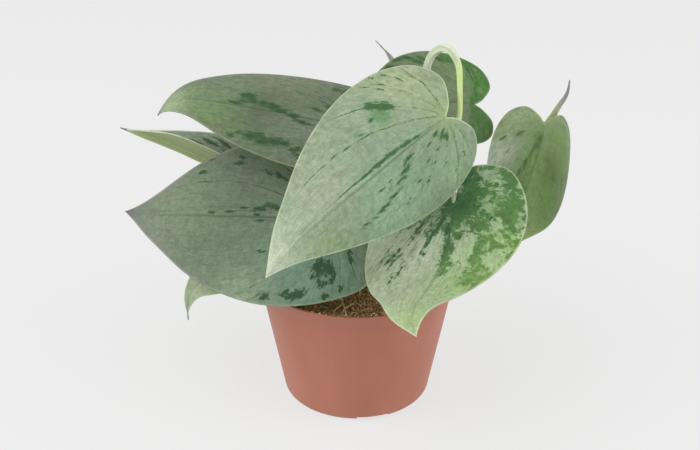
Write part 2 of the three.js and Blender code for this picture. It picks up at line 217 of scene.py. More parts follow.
# Each leaf has the same shape values as its solid, then its own looks. stalk is the petiole's radii in
# mm from stem to blade. Where marks is None, they are scattered.
leaves = {
    "leafFront": {
        "node": "leaf_front", "at": (47, -34, 189), "heading": 230, "pitch": -10, "roll": -51,
        "length": 136, "left": 45, "right": 49, "lobes": (0.65, 0.75), "full": (0, 0.05), "taper": 0.3,
        "arch": 31, "hook": -1, "sweep": 7, "tipSweep": 12, "fold": -20, "cup": -24, "twist": -1,
        "petiole": [
            (20, 4, 99), (25, 7, 116), (31, 6, 150), (36, 4.5, 182), (38.9, 3, 205), (44.7, -2.4, 215.4),
            (50.5, -7.5, 216), (54.4, -10.5, 209), (55.3, -14, 198), (55.2, -20, 183.5), (52, -27, 179.5)],
        "stalk": (2.6, 2.4, 2.2, 2.1, 2.1, 2.3, 1.6, 1.6), "sheathEnd": 0.645, "joint": "#93A972",
        "stalkColours": ("#E4E9DA", "#D6DEC8", "#CCDF95"), "nibble": 3.1,
        "silver": "#8B9C81", "green": "#6E8F68", "deep": "#305C2A", "streak": 0.5, "veins": 1.4,
        "soft": 0.1, "rim": ("#C8D6B4", 0.7), "tip": ("#C9CDB4", 0.972),
        "washes": [
            (0.00, 0.70, 24, "#A0AC86", 0.9), (0.45, 0.60, 26, "#8E9D7F", 0.8),
            (0.36, 0.02, 22, "#7E9077", 0.8), (0.38, -0.60, 26, "#9BB599", 0.9),
            (0.03, -0.80, 18, "#9EB590", 0.8), (0.00, 0.02, 10, "#93A972", 0.8),
            (0.97, 0.00, 24, "#C0CAB2", 0.95), (0.72, -0.30, 14, "#90A87A", 0.7),
            (0.62, 0.22, 18, "#9CA48F", 0.7),
        ],
        "greens": [(0.20, 0.49, 8, "#60855A", 0.9)],
        "zones": [
            (0.205, 0.48, 5.5, 6.5, 0.8), (0.34, 0.45, 3, 2.5, 0.2), (0.27, -0.32, 26, 6, -0.12),
            (0.06, -0.18, 7, 7, -0.15), (0.10, 0.10, 10, 5, -0.35), (0.05, 0.85, 8, 5, -0.45),
            (0.20, -0.55, 12, 6, -0.22),
        ],
        "marks": [
            (0.19, 0.63, 6, 3.0), (0.155, 0.53, 6, 3.6), (0.25, 0.50, 2.4, 1.8), (0.17, 0.03, 4, 0.8),
            (0.045, -0.13, 3.5, 1.4), (0.085, -0.08, 3, 1.3), (0.035, -0.19, 2.4, 1.3),
            (0.23, 0.045, 6, 1.2), (0.30, 0.06, 7, 1.3), (0.37, 0.06, 7, 1.4), (0.44, 0.06, 7, 0.9),
            (0.53, 0.06, 8, 0.6), (0.25, -0.11, 5, 1.4), (0.28, -0.21, 5, 1.7), (0.32, -0.27, 5, 1.3),
            (0.38, -0.37, 7, 1.3), (0.45, -0.43, 8, 1.1), (0.54, -0.44, 8, 0.8), (0.05, -0.12, 4, 1.1),
            (0.03, -0.21, 4, 1.1), (0.13, -0.14, 3, 1.0), (0.14, -0.40, 3, 1.1), (0.19, -0.53, 3, 1.2),
            (0.24, -0.45, 4, 1.0), (0.07, -0.48, 2.5, 1.0), (0.02, -0.68, 2.6, 0.9),
            (-0.04, -0.55, 2.4, 0.8), (0.32, -0.59, 3, 1.0), (0.10, -0.28, 3, 0.9), (0.17, -0.32, 4, 0.9),
            (0.40, -0.20, 6, 0.7), (0.06, 0.94, 2.6, 0.9), (0.01, 0.86, 3, 0.9), (-0.01, 0.70, 2.5, 0.8),
            (0.10, 0.75, 4, 0.9), (0.07, 0.80, 2.5, 0.8), (0.34, 0.45, 2.4, 1.0), (0.04, 0.60, 3, 0.7),
            (0.13, 0.90, 3, 0.8),
        ],
    },
    "leafFrontRight": {
        "node": "leaf_front_right", "at": (52.5, -37, 139.5), "heading": 265, "pitch": -21, "roll": 19,
        "length": 116, "left": 41, "right": 52, "lobes": (1.05, 1), "full": (0, 0.05), "taper": 0.4,
        "closed": 0.75, "arch": -37, "hook": 36, "sweep": -15, "tipSweep": 31, "fold": 3, "cup": -23,
        "twist": 2, "petiole": [(17, -1, 86), (30, 2, 108), (43, -6, 130), (51, -20, 143), (52.5, -30, 143)],
        # its joint is painted dark green: the shade under the front leaf, whose blade hangs over it
        "stalk": (2.4, 1.7, 1.7), "stalkColours": ("#A9AF8B", "#9DA777", "#A3B58A"), "joint": "#2C5630",
        "silver": "#A9B699", "green": "#50763F", "deep": "#2D5431", "island": 4.4,
        # its wide pale margin is partly its paler underside curling into view and partly a painted highlight
        # on the curl
        "rim": ("#C9D6AC", 0.75), "tip": ("#D8C79C", 0.975),
        "washes": [
            (0.25, 0.35, 22, "#B4BFA6", 0.8), (0.66, 0.15, 22, "#A0AB8C", 0.8),
            (0.88, 0.00, 16, "#A1B383", 0.9), (0.60, -0.45, 20, "#94AE72", 0.9),
            (0.45, 0.80, 16, "#A9B997", 0.8), (0.05, 0.15, 14, "#8CA27C", 0.8),
            (0.00, -0.70, 24, "#94B07E", 0.8), (0.30, -0.85, 14, "#9CBB7C", 0.8),
            (0.36, -0.30, 12, "#A9BF93", 0.8),
        ],
        "greens": [
            # the first green, the darkest, at the sinus, is partly the blade's dark base and partly painted
            # shade under the front leaf
            (0.00, -0.08, 14, "#2B5630", 0.95), (-0.12, -0.25, 13, "#346335", 0.8),
            (-0.05, -0.70, 18, "#4D783C", 0.7), (0.30, -0.88, 18, "#5D8236", 0.9),
            (0.52, -0.72, 18, "#6F9145", 0.9), (0.25, -0.10, 12, "#4B7048", 0.7),
        ],
        "zones": [
            (0.14, -0.60, 46, 28, 0.34), (-0.12, -0.35, 12, 20, 0.60), (0.06, -0.04, 13, 9, 0.95),
            (0.10, -0.76, 8, 7, 0.70), (0.33, -0.06, 22, 4, 0.50), (0.35, -0.25, 14, 6, -0.75),
            (0.42, -0.73, 8, 5, -0.50), (0.55, -0.55, 12, 8, 0.12), (0.44, -0.45, 19, 3.4, 0.45),
            (0.70, -0.35, 10, 8, -0.60), (0.05, -0.46, 5, 3, -0.15), (0.17, -0.62, 6, 4, -0.20),
            (-0.13, -0.42, 5, 4, -0.10), (-0.07, -0.59, 6, 4, -0.15), (0.11, -0.98, 14, 4, -0.10),
            (0.27, -0.70, 4, 3, -0.40), (0.23, -0.92, 3, 3, -0.40), (0.35, -0.80, 4, 3, -0.40),
            (0.10, 0.22, 13, 9, 0.05), (-0.10, 0.30, 9, 9, 0.60), (0.30, 0.62, 7, 11, -0.30),
            (0.14, 0.50, 9, 12, -0.35),
        ],
        "marks": [
            (0.10, 0.10, 6, 1.6), (0.15, 0.13, 7, 1.6), (0.20, 0.19, 8, 1.6), (0.26, 0.24, 7, 1.2),
            (0.12, 0.33, 6, 1.4), (0.18, 0.38, 6, 1.1), (0.17, 0.03, 6, 1.4), (0.27, 0.56, 5, 1.1),
            (0.33, 0.66, 4, 1.1), (0.37, 0.60, 4, 1.0), (0.30, 0.74, 4, 1.1), (0.24, 0.68, 4, 0.9),
            (0.35, 0.24, 8, 0.8), (0.43, 0.45, 9, 0.8), (0.50, 0.51, 8, 0.7), (0.12, -1.0, 1.6, 1.4),
            (0.19, -0.98, 1.5, 1.3), (0.05, -0.30, 5, 1.0), (0.12, -0.50, 5, 0.9),
        ],
    },
    "leafLeft": {
        "node": "leaf_left", "at": (-18, -19, 119.5), "heading": 174, "pitch": 0, "roll": -47,
        "length": 125, "left": 51, "right": 45, "lobes": (1.3, 1), "full": (0.1, 0.1), "taper": 0.4,
        "arch": 31, "hook": -13, "sweep": -5, "tipSweep": -6, "fold": 9, "cup": -9, "twist": -1,
        "petiole": [(-17.6, 6.6, 83), (-7, -2, 91), (-1, -10, 103), (-3, -17, 113.5), (-10, -19.5, 118)],
        "stalk": (2.5, 1.8, 1.8), "silver": "#6C7D66", "green": "#4C694B", "deep": "#26482B", "veins": 1.3,
        "rim": ("#A9B79C", 0.5), "tip": ("#6E696B", 0.93), "dusk": 0.6, "streak": 0.5,
        "washes": [
            (0.42, 0.12, 24, "#62725A", 0.9), (0.72, 0.00, 22, "#77856B", 0.8),
            (0.35, 0.70, 22, "#65745F", 0.8), (0.50, -0.45, 20, "#65755F", 0.8),
            (0.05, -0.60, 26, "#6F8B76", 0.9), (0.35, -0.95, 16, "#8A9A80", 0.7),
            (0.85, -0.25, 14, "#7F8678", 0.6),
        ],
        "marks": [
            (0.26, -0.41, 3, 1.4), (0.23, -0.91, 4, 2.4), (0.14, -0.86, 3, 2.2), (0.12, -0.90, 2.5, 2.2),
            (0.09, -0.88, 3, 2.4), (0.07, -0.84, 3, 1.8), (0.01, -0.53, 5.5, 3.2), (0.0, -0.61, 4.5, 2.8),
            (-0.03, -0.53, 4.5, 2.8), (-0.05, -0.60, 4, 2.8), (-0.01, -0.75, 3, 1.9), (-0.05, -0.70, 3, 2.0),
            (-0.10, -0.79, 3, 1.8), (-0.03, -0.88, 2.5, 1.6), (-0.12, -0.37, 3, 1.8), (-0.13, -0.45, 3, 1.8),
            (0.53, 0.05, 2.5, 1.0), (0.44, 0.06, 3, 1.0), (0.37, 0.11, 2.4, 1.0), (0.30, 0.10, 5, 1.4),
            (0.23, 0.13, 6.5, 1.6), (0.31, 0.03, 2.2, 0.8), (0.29, -0.05, 3, 0.8), (0.25, 0.86, 3.5, 1.5),
            (0.20, 0.79, 3, 1.4), (0.57, 0.72, 2.5, 0.9), (0.59, 0.56, 3, 1.1), (0.15, 0.62, 6, 1.1),
            (0.41, 0.68, 4, 1.3), (0.40, 0.75, 3, 1.2), (0.27, 0.57, 5, 1.1), (0.21, 0.51, 6, 1.3),
        ],
    },
    "leafUpperLeft": {
        "node": "leaf_upper_left", "at": (-1.5, 12, 161), "heading": 176, "pitch": 12, "roll": -16,
        "length": 118, "left": 38, "right": 41, "lobes": (1, 1), "full": (0.15, 0.1), "taper": 0.25,
        "arch": 6, "hook": 58, "sweep": 2, "tipSweep": 2, "fold": 11, "cup": -33, "twist": 3,
        "petiole": [(-15.6, 11, 103), (-9, 16, 124), (1, 17, 148), (5, 13, 157)],
        "stalk": (2.4, 1.7, 1.7), "silver": "#6A7960", "green": "#45633F", "deep": "#274A2A", "veins": 1.0,
        "rim": ("#AAB99A", 0.4), "tip": ("#7C757A", 0.95), "dusk": 0.35, "streak": 0.55, "soft": 0.35,
        "washes": [
            (0.45, 0.00, 20, "#46543F", 0.9), (0.72, -0.30, 20, "#6D8655", 0.9),
            (0.92, -0.10, 14, "#A3B98C", 0.9), (0.40, 0.75, 20, "#787D68", 0.8),
            (0.22, -0.40, 22, "#7A8672", 0.9), (0.62, 0.35, 16, "#728568", 0.7),
        ],
        "marks": [
            (0.52, 0.21, 4.5, 3.4), (0.50, 0.13, 3.5, 2.2), (0.45, 0.12, 3.5, 2.6), (0.40, 0.09, 4.5, 2.6),
            (0.36, 0.03, 4.5, 2.0), (0.30, -0.02, 5.5, 2.0), (0.26, -0.12, 4.5, 1.6), (0.22, -0.16, 4.5, 1.3),
            (0.54, 0.09, 5, 1.1), (0.58, 0.05, 5, 1.0), (0.57, -0.70, 2.5, 1.7), (0.53, -0.61, 2.2, 1.5),
            (0.47, -0.64, 6, 3.2), (0.44, -0.59, 4, 2.2), (0.41, -0.69, 5, 3.2), (0.35, -0.66, 5, 3.0),
            (0.31, -0.66, 4, 2.2), (0.25, -0.73, 4.5, 1.8), (0.23, -0.83, 3, 1.3), (0.07, 0.74, 3, 3.2),
            (0.12, 0.74, 2.6, 2.6), (0.14, 0.29, 3, 1.6), (0.19, 0.19, 4.5, 1.3),
        ],
    },
    "leafTop": {
        "node": "leaf_top", "at": (67.5, 36, 165), "heading": 201, "pitch": 16, "roll": -35,
        "length": 80, "left": 26, "right": 36, "lobes": (0.6, 0.85), "full": (-0.05, 0.2), "taper": 0.55,
        "arch": 16, "hook": 0, "sweep": 3, "tipSweep": 0, "fold": 2, "cup": -15, "twist": -3,
        "petiole": [(54, 27.4, 99.7), (57, 40, 118), (64, 47, 141), (69, 43, 157)],
        "stalk": (2.2, 1.5, 1.5), "silver": "#69795A", "green": "#406A31", "deep": "#2A5026", "feather": 0.6,
        "rim": ("#9FAE8C", 0.4), "joint": "#5A7444", "streak": 0.6, "soft": 0.4,
        "washes": [
            (0.15, 0.50, 15, "#6B7E57", 0.8), (0.50, 0.70, 18, "#68765C", 0.8),
            (0.12, 0.00, 12, "#6C7C5C", 0.8),
        ],
        "greens": [
            (-0.08, 0.50, 12, "#477A30", 0.8), (-0.02, -0.60, 12, "#4A6C34", 0.8),
            (0.0, 0.95, 8, "#3B6A2C", 0.8),
        ],
        "zones": [
            (-0.09, 0.62, 9, 16, 0.8), (-0.03, 0.00, 6, 10, 0.5), (-0.03, -0.62, 9, 15, 0.75),
            (0.10, 0.92, 8, 5, 0.6), (-0.04, 0.61, 2.2, 2.0, -0.9), (-0.07, 0.30, 1.8, 2.2, -0.8),
            (-0.08, 0.72, 1.4, 1.8, -0.7), (-0.06, -0.72, 1.6, 2.0, -0.6),
        ],
        "marks": [
            (0.61, 0.64, 4.5, 1.8), (0.55, 0.78, 4, 1.8), (0.47, 0.83, 4, 1.6), (0.39, 0.76, 4.5, 1.8),
            (0.32, 0.81, 5, 1.7), (0.44, 0.62, 4, 1.2), (0.20, 0.86, 5, 1.6),
        ],
    },
    "leafRight": {
        "node": "leaf_right", "at": (105, 10, 164.5), "heading": 257, "pitch": -24, "roll": -23,
        "length": 94, "left": 33, "right": 31, "lobes": (0.9, 0.7), "full": (0.2, 0), "taper": 0.7,
        "arch": 16, "hook": 13, "sweep": -13, "tipSweep": -14, "fold": -20, "cup": -41, "twist": 6,
        "petiole": [(80, 28, 116), (90, 36, 136), (99, 34, 152), (105, 25, 158.5), (106.3, 17, 158.5)],
        "stalk": (2.2, 1.6, 1.6), "silver": "#829570", "green": "#4B692F", "deep": "#395826", "feather": 0.4,
        "streak": 0.3, "veins": 0.35, "soft": 0.5, "rim": ("#A9B68C", 0.4), "tip": ("#6F6A45", 0.93),
        "joint": "#5C7A42",
        "washes": [
            (0.30, 0.78, 21, "#B8C4B4", 1.0), (0.30, -0.50, 28, "#3B5614", 1.0),
            (0.02, -0.55, 15, "#66813F", 0.9), (0.08, 0.10, 11, "#67804C", 0.85),
            (0.52, -0.45, 22, "#4F6D2A", 0.95), (0.50, 0.30, 13, "#65804A", 0.8),
            (0.80, -0.25, 15, "#788A4B", 0.9), (0.00, 0.60, 12, "#8E9F74", 0.8),
            (0.30, 0.12, 9, "#65804A", 0.8),
        ],
        "zones": [
            (0.07, -0.62, 8, 6, -0.1), (0.20, -0.44, 7, 5, -0.12), (0.17, -0.92, 10, 4, 0.0),
            (0.36, -0.62, 13, 6, -0.15), (0.10, 0.07, 5, 3.5, -0.05), (0.31, 0.12, 7, 2.4, -0.12),
        ],
        "marks": [
            (0.10, 0.72, 2.2, 1.5), (0.08, 0.40, 3, 1.5), (0.12, 0.02, 3, 1.6), (0.17, 0.05, 3, 1.5),
            (0.22, 0.10, 3.5, 1.2), (0.31, 0.16, 4.5, 1.2), (0.38, 0.23, 3.5, 1.0),
        ],
    },
    "leafFolded": {
        "node": "leaf_folded", "at": (-57.5, 39, 109.5), "heading": 165, "pitch": 22, "roll": 9,
        "length": 92, "left": 27, "right": 29, "lobes": (0.6, 0.6), "full": (0.4, -0.1), "taper": 0.55,
        "arch": 9, "hook": -2, "sweep": -5, "tipSweep": -7, "fold": 44, "cup": -12, "twist": 6,
        "petiole": [(-5.3, 38.6, 84.5), (-20, 40, 91), (-38, 41.5, 98.5), (-50, 40.5, 105)],
        "stalk": (2.1, 1.4, 1.4), "silver": "#869582", "green": "#5F7650", "deep": "#3C5834", "streak": 0.55,
        "tip": ("#5F5A5C", 0.93), "dusk": 0.2, "rim": ("#D9E0C4", 0.95),
        "marks": [(0.42, 0.50, 7, 1.4), (0.34, 0.60, 6, 1.6), (0.50, 0.36, 6, 1.2), (0.28, 0.40, 5, 1.4)],
    },
    "leafDrooping": {
        "node": "leaf_drooping", "at": (-31, -5, 115.5), "heading": 197, "pitch": -20, "roll": -28,
        "length": 95, "left": 30, "right": 25, "lobes": (1, 1), "full": (0.1, 0.1), "taper": 0.85,
        "arch": 30, "hook": 13, "sweep": 8, "tipSweep": 57, "fold": 8, "cup": -18, "twist": 0,
        "petiole": [(-16.8, 8.6, 92), (-19, 3, 103), (-23, -1, 111)],
        "stalk": (2.1, 1.4, 1.4), "silver": "#9FAE8C", "green": "#7F9C68", "deep": "#456E42", "streak": 0.3,
        "tip": ("#8A8A86", 0.95), "dusk": 0.3, "marks": None,
    },
    "leafUpright": {
        "node": "leaf_upright", "at": (36.5, 52, 99), "heading": 125, "pitch": 69, "roll": 0,
        "length": 98, "left": 20, "right": 20, "lobes": (0.6, 0.6), "full": (0, 0), "taper": 1,
        "arch": -9, "hook": 24, "sweep": 2, "tipSweep": 30, "fold": 28, "cup": -8, "twist": 0,
        "petiole": [(35, 26.6, 84.5), (37.5, 36, 87), (38.5, 45, 91)],
        "stalk": (2.1, 1.4, 1.4), "tip": ("#B5AEAC", 0.78), "marks": None,
    },
    "leafBack": {
        "node": "leaf_back", "at": (-6, 68, 102), "heading": 96, "pitch": 0, "roll": 2,
        "length": 98, "left": 34, "right": 34, "lobes": (1, 1), "full": (0, 0), "taper": 0.4,
        "arch": 44, "hook": 18, "sweep": -4, "tipSweep": 0, "fold": 8, "cup": -16, "twist": 0,
        "petiole": [(-6.2, 40.4, 93), (-3, 48, 98), (-4, 59, 102.5)],
        "stalk": (2.2, 1.6, 1.6), "marks": None,
        "washes": [(0.5, 0.4, 24, "#98A886", 0.8), (0.1, -0.5, 20, "#7F9478", 0.8)],
        "zones": [(0.08, -0.55, 18, 12, -0.05), (0.00, 0.60, 15, 11, -0.05), (0.34, -0.78, 12, 6, -0.2)],
    },
    "leafBackLeft": {
        "node": "leaf_back_left", "at": (-24, 48, 139), "heading": 128, "pitch": 4, "roll": 4,
        "length": 92, "left": 32, "right": 32, "lobes": (1, 1), "full": (0, 0), "taper": 0.4,
        "arch": 30, "hook": 16, "sweep": 0, "tipSweep": 0, "fold": 8, "cup": -14, "twist": 0,
        "petiole": [(-7.6, 43.2, 106), (-12, 41, 120), (-18, 42.5, 133)],
        "stalk": (2.1, 1.5, 1.5), "silver": "#7E9274", "dusk": 0.3, "marks": None,
        "washes": [(0.6, 0.0, 26, "#8A9A7A", 0.8), (0.05, 0.5, 18, "#72896E", 0.8)],
    },
    "leafLowRight": {
        "node": "leaf_low_right", "at": (68, 37, 89), "heading": 28, "pitch": 2, "roll": 4,
        "length": 60, "left": 22, "right": 22, "lobes": (1, 1), "full": (0, 0), "taper": 0.4,
        "arch": 34, "hook": 18, "sweep": 0, "tipSweep": 0, "fold": 8, "cup": -16, "twist": 0,
        "petiole": [(44, 27.1, 93.2), (51, 33, 90.5), (60, 35.5, 88.5)],
        "stalk": (2, 1.3, 1.3), "silver": "#9BAE8E", "zones": [(0.08, 0.55, 13, 9, -0.05)], "marks": None,
    },
}

# widths and depths are in mm; crowd draws the columns to the midrib and margin, rowEase the rows to the
# base, and the two halves lie apart in the noise so that they don't match
blade = {
    "rows": 120, "columns": 34, "crowd": 0.6, "rowEase": 1.7, "tipFrom": 0.72, "middle": 0.8, "margin": 0.5,
    "thinnest": 0.2, "lip": 0.18, "waver": 0.4, "waverReach": 16, "wanderReach": 9, "halvesApart": 40.0,
    "veinSpacing": 0.34, "veinWidth": 1.0, "veinGroove": 0.14, "ribWidth": 1.1, "ribGroove": 0.3,
    "ribRaised": 0.9, "quilt": 0.28, "unmarked": -1.5, "leastSpan": 4.0,
}


# the turn about x, y or z by angles in degrees, as one matrix for each
def turn(axis, angles):
    angles = np.radians(np.asarray(angles, float))
    c, s = np.cos(angles), np.sin(angles)
    zero, one = np.zeros_like(c), np.ones_like(c)
    rows = {
        "x": ((one, zero, zero), (zero, c, -s), (zero, s, c)),
        "y": ((c, zero, s), (zero, one, zero), (-s, zero, c)),
        "z": ((c, -s, zero), (s, c, zero), (zero, zero, one)),
    }[axis]
    return np.stack([np.stack(row, -1) for row in rows], -2)


def smoothstep(low, high, values):
    share = np.clip((values - low) / (high - low), 0, 1)
    return share * share * (3 - 2 * share)


# a bell that is 1 at the middle and falls away over the given width
def bell(values, width):
    return np.exp(-((values / width) ** 2))


# a smooth curve through points, at places from 0 to 1
def curveThrough(points, places, ends="repeat"):
    points = np.asarray(points, float)
    last = len(points) - 1
    first, final = points[0], points[-1]
    if ends == "extend":
        first, final = 2 * points[0] - points[1], 2 * points[-1] - points[-2]
    padded = np.concatenate([[first], points, [final]])
    places = np.clip(np.asarray(places, float), 0, 1) * last
    k = np.minimum(places.astype(int), last - 1)
    w = (places - k)[..., None]
    before, here, there, after = padded[k], padded[k + 1], padded[k + 2], padded[k + 3]
    leave, arrive = (there - before) / 2, (after - here) / 2
    cubic = (2 * here - 2 * there + leave + arrive) * w**3
    return cubic + (3 * there - 3 * here - 2 * leave - arrive) * w**2 + leave * w + here


# a full half is wider in its outer part, a tapered one narrower, and a closed one has a narrow sinus
def halfOutline(leaf, side, s):
    points = np.array(halfBlade, float)
    full, taper = leaf["full"][side], leaf["taper"]
    points[:, 0] *= [1, 1, 1, 1, 1, 1 + 0.35 * full, 1 + full, 1 + full, 1 + 0.5 * full, 1]
    points[:, 0] *= [1, 1, 1, 1, 1, 1, 1 - 0.15 * taper, 1 - 0.55 * taper, 1 - taper, 1]
    points[:, 1] = np.where(points[:, 1] < 0, points[:, 1] * leaf["lobes"][side], points[:, 1])
    points[1, 1] *= 1 + leaf["closed"]
    return curveThrough(points, s)


# where s and t fall on the blade laid flat: across in half widths, signed, and along in lengths
def laidFlat(leaf, s, t):
    edges = np.where((t > 0)[..., None], halfOutline(leaf, 1, s), halfOutline(leaf, 0, s))
    reach = np.abs(t)
    return t * edges[..., 0], (1 - reach) * s ** blade["rowEase"] + reach * edges[..., 1]


def bladeTurn(leaf, u):
    nearTip = smoothstep(blade["tipFrom"], 1, u)
    ahead = np.maximum(u, 0)
    arch = leaf["arch"] * ahead + leaf["hook"] * nearTip
    sweep = leaf["sweep"] * ahead + leaf["tipSweep"] * nearTip
    return turn("z", sweep) @ turn("x", -arch) @ turn("y", leaf["twist"] * u)


# the midrib, followed from behind the base, where the lobes reach, to the tip in hundredths
def midribPoints(leaf, u):
    stations = np.linspace(-0.3, 1, 131)
    step = stations[1] - stations[0]
    forward = bladeTurn(leaf, stations[:-1] + step / 2)[:, :, 1]
    points = np.concatenate([[np.zeros(3)], np.cumsum(forward * step * leaf["length"], 0)])
    at = [np.interp(u, stations, points[:, k]) - np.interp(0, stations, points[:, k]) for k in range(3)]
    return np.stack(at, -1)


def bladeSurface(leaf, s, t):
    across, u = laidFlat(leaf, s, t)
    fold, cup = math.radians(leaf["fold"]), math.radians(leaf["cup"])
    width = np.where(t > 0, leaf["right"], leaf["left"])
    angle = fold + cup * np.abs(across)
    out = np.sign(t) * width / cup * (np.sin(angle) - math.sin(fold))
    up = -width / cup * (np.cos(angle) - math.cos(fold))
    bend = bladeTurn(leaf, u)
    local = midribPoints(leaf, u) + bend[..., :, 0] * out[..., None] + bend[..., :, 2] * up[..., None]
    start = turn("z", leaf["heading"] - 90) @ turn("x", leaf["pitch"]) @ turn("y", leaf["roll"])
    return np.array(leaf["at"]) + local @ start.T


# measured a little short of base and tip, where the rows meet in a point
def bladeNormals(leaf, s, t):
    nudge, short = 0.004, 0.03
    inner = np.clip(s, short, 1 - short)
    along = bladeSurface(leaf, inner + nudge, t) - bladeSurface(leaf, inner - nudge, t)
    rightOf, leftOf = np.minimum(t + nudge, 1), np.maximum(t - nudge, -1)
    across = bladeSurface(leaf, inner, rightOf) - bladeSurface(leaf, inner, leftOf)
    normals = np.cross(across, along)
    return normals / np.linalg.norm(normals, axis=-1, keepdims=True)


# Veins leave the base and arch towards the tip on circles through both. The first number grows along
# a vein, and the second across them from the midrib, negative on the left. The third is how many mm
# one unit of them spans there.
def veinFlow(leaf, flat):
    tip = flat - np.array([0, leaf["length"]])
    toBase = np.maximum(np.linalg.norm(flat, axis=-1), 1.0)
    toTip = np.maximum(np.linalg.norm(tip, axis=-1), 1.0)
    cross = flat[..., 0] * tip[..., 1] - flat[..., 1] * tip[..., 0]
    between = np.arctan2(np.abs(cross), (flat * tip).sum(-1))
    side = np.where(flat[..., 0] >= 0, 1, -1)
    along, across = np.log(toBase / toTip), side * (math.pi - between)
    return np.stack([along, across], -1), toBase * toTip / leaf["length"]


def placeOn(leaf, along, across):
    return np.array([across * (leaf["right"] if across > 0 else leaf["left"]), along * leaf["length"]])


# how deep each point lies inside small patches that follow the veins: 1 in the middle, 0 at an edge
def markDepth(leaf, flow, marks):
    depth = np.full(len(flow), blade["unmarked"])
    for along, across, halfLength, halfWidth in marks:
        middle, span = veinFlow(leaf, placeOn(leaf, along, across))
        offset = (flow - middle) * max(span, blade["leastSpan"]) / np.array([halfLength, halfWidth])
        depth = np.maximum(depth, 1 - (offset**2).sum(-1))
    return depth


def greenGround(leaf, flat):
    ground = np.full(len(flat), -1.0)
    for along, across, halfLength, halfWidth, green in leaf["zones"]:
        offset = (flat - placeOn(leaf, along, across)) / np.array([halfWidth, halfLength])
        ground += (1 - smoothstep(0.5, 1.5, np.linalg.norm(offset, axis=1))) * (green - ground)
    return ground


def washed(leaf, flat, base, washes):
    colour = np.tile(np.array(linear(base)[:3]), (len(flat), 1))
    for along, across, reach, tone, strength in washes:
        distance = np.linalg.norm(flat - placeOn(leaf, along, across), axis=1)
        weight = strength * bell(distance, reach)
        colour += weight[:, None] * (np.array(linear(tone)[:3]) - colour)
    return colour


# a row of marks along the midrib and some on both halves, the same each time for a leaf's name
def scatteredMarks(name, besideRib=5, onHalves=12):
    draw = random.Random(name)
    marks = []
    for k in range(besideRib):
        marks.append((0.12 + 0.09 * k, draw.uniform(-0.12, 0.12), draw.uniform(3, 7), draw.uniform(1, 2)))
    for _ in range(onHalves):
        across = draw.choice((-1, 1)) * draw.uniform(0.3, 0.85)
        marks.append((draw.uniform(-0.05, 0.55), across, draw.uniform(2, 5), draw.uniform(1, 2.4)))
    return marks


# the faces of one side of a blade, closed at base and tip, and the points round its edge in order
def bladeFaces(rows, columns):
    base, end = (rows - 1) * columns, (rows - 2) * columns
    tip = base + 1
    faces = []
    for i in range(rows - 2):
        for k in range(i * columns, i * columns + columns - 1):
            faces.append((k, k + 1, k + 1 + columns, k + columns))
    for j in range(columns - 1):
        faces.append((base, j + 1, j))
        faces.append((tip, end + j, end + j + 1))
    edgeLoop = [base] + [i * columns for i in range(rows - 1)] + [tip]
    return faces, edgeLoop + [i * columns + columns - 1 for i in reversed(range(rows - 1))]


def noiseOn(places, reach, seed):
    return np.array([noise.noise(Vector((x / reach, y / reach, seed))) for x, y in places])


# s and t of a grid of points, with one more at the base and one at the tip
def bladeGrid(rows, columns):
    share = np.linspace(-1, 1, columns)
    share = share - blade["crowd"] * np.sin(2 * math.pi * share) / (2 * math.pi)
    s = np.repeat(np.linspace(0, 1, rows + 1)[1:-1, None], columns, 1)
    t = np.repeat(share[None, :], rows - 1, 0)
    return np.append(s.ravel(), [0, 1]), np.append(t.ravel(), [0, 0])


# how many mm each point lies from the margin
def edgeDistance(leaf, flat):
    steps = np.linspace(0, 1, 260)
    leftRim = halfOutline(leaf, 0, steps) * [-leaf["left"], leaf["length"]]
    rightRim = halfOutline(leaf, 1, steps) * [leaf["right"], leaf["length"]]
    rim = np.concatenate([leftRim, rightRim])
    return np.array([np.sqrt(((rim - point) ** 2).sum(1).min()) for point in flat])


# veins counted from the midrib; they are not quite evenly spaced, and wander a little
def veinPhase(flow, flat, seed):
    phase = flow[:, 1] / blade["veinSpacing"]
    wander = noiseOn(flat, blade["wanderReach"], seed + 7)
    return phase + 0.30 * np.sin(1.7 * phase + seed) + 0.14 * np.sin(4.3 * phase + 2 * seed) + 0.10 * wander


# the two sides of a blade that wavers, is quilted between its veins and has its midrib standing out below
def bladeSides(leaf, s, t, at, waver):
    edge, rib, phase, span = at["edge"], at["rib"], at["phase"], at["veinSpan"]
    surface, normals = bladeSurface(leaf, s, t), bladeNormals(leaf, s, t)
    surface = surface + normals * (blade["waver"] * waver * np.minimum(edge, 6) / 6)[:, None]
    along = np.clip(at["along"], 0, 1)
    ribShape = bell(rib, blade["ribWidth"]) * (1 - along) ** 0.6 * smoothstep(0.0, 0.1, along)
    fromVein = np.abs(phase - np.round(phase)) * span
    veinShape = bell(fromVein, blade["veinWidth"]) * smoothstep(1.5, 5, rib) * smoothstep(1.0, 6.0, edge)
    swell = (1 - np.cos(2 * math.pi * phase)) / 2 * smoothstep(0.0, 10.0, edge)
    relief = blade["quilt"] * swell - blade["veinGroove"] * veinShape
    thick = (blade["middle"] + (blade["margin"] - blade["middle"]) * t**2) / 2
    above = thick - blade["ribGroove"] * ribShape + relief
    below = thick + blade["ribRaised"] * ribShape * (1.2 - along) - relief
    below = np.maximum(below, blade["thinnest"] - above)
    return surface + normals * above[:, None], surface - normals * below[:, None]


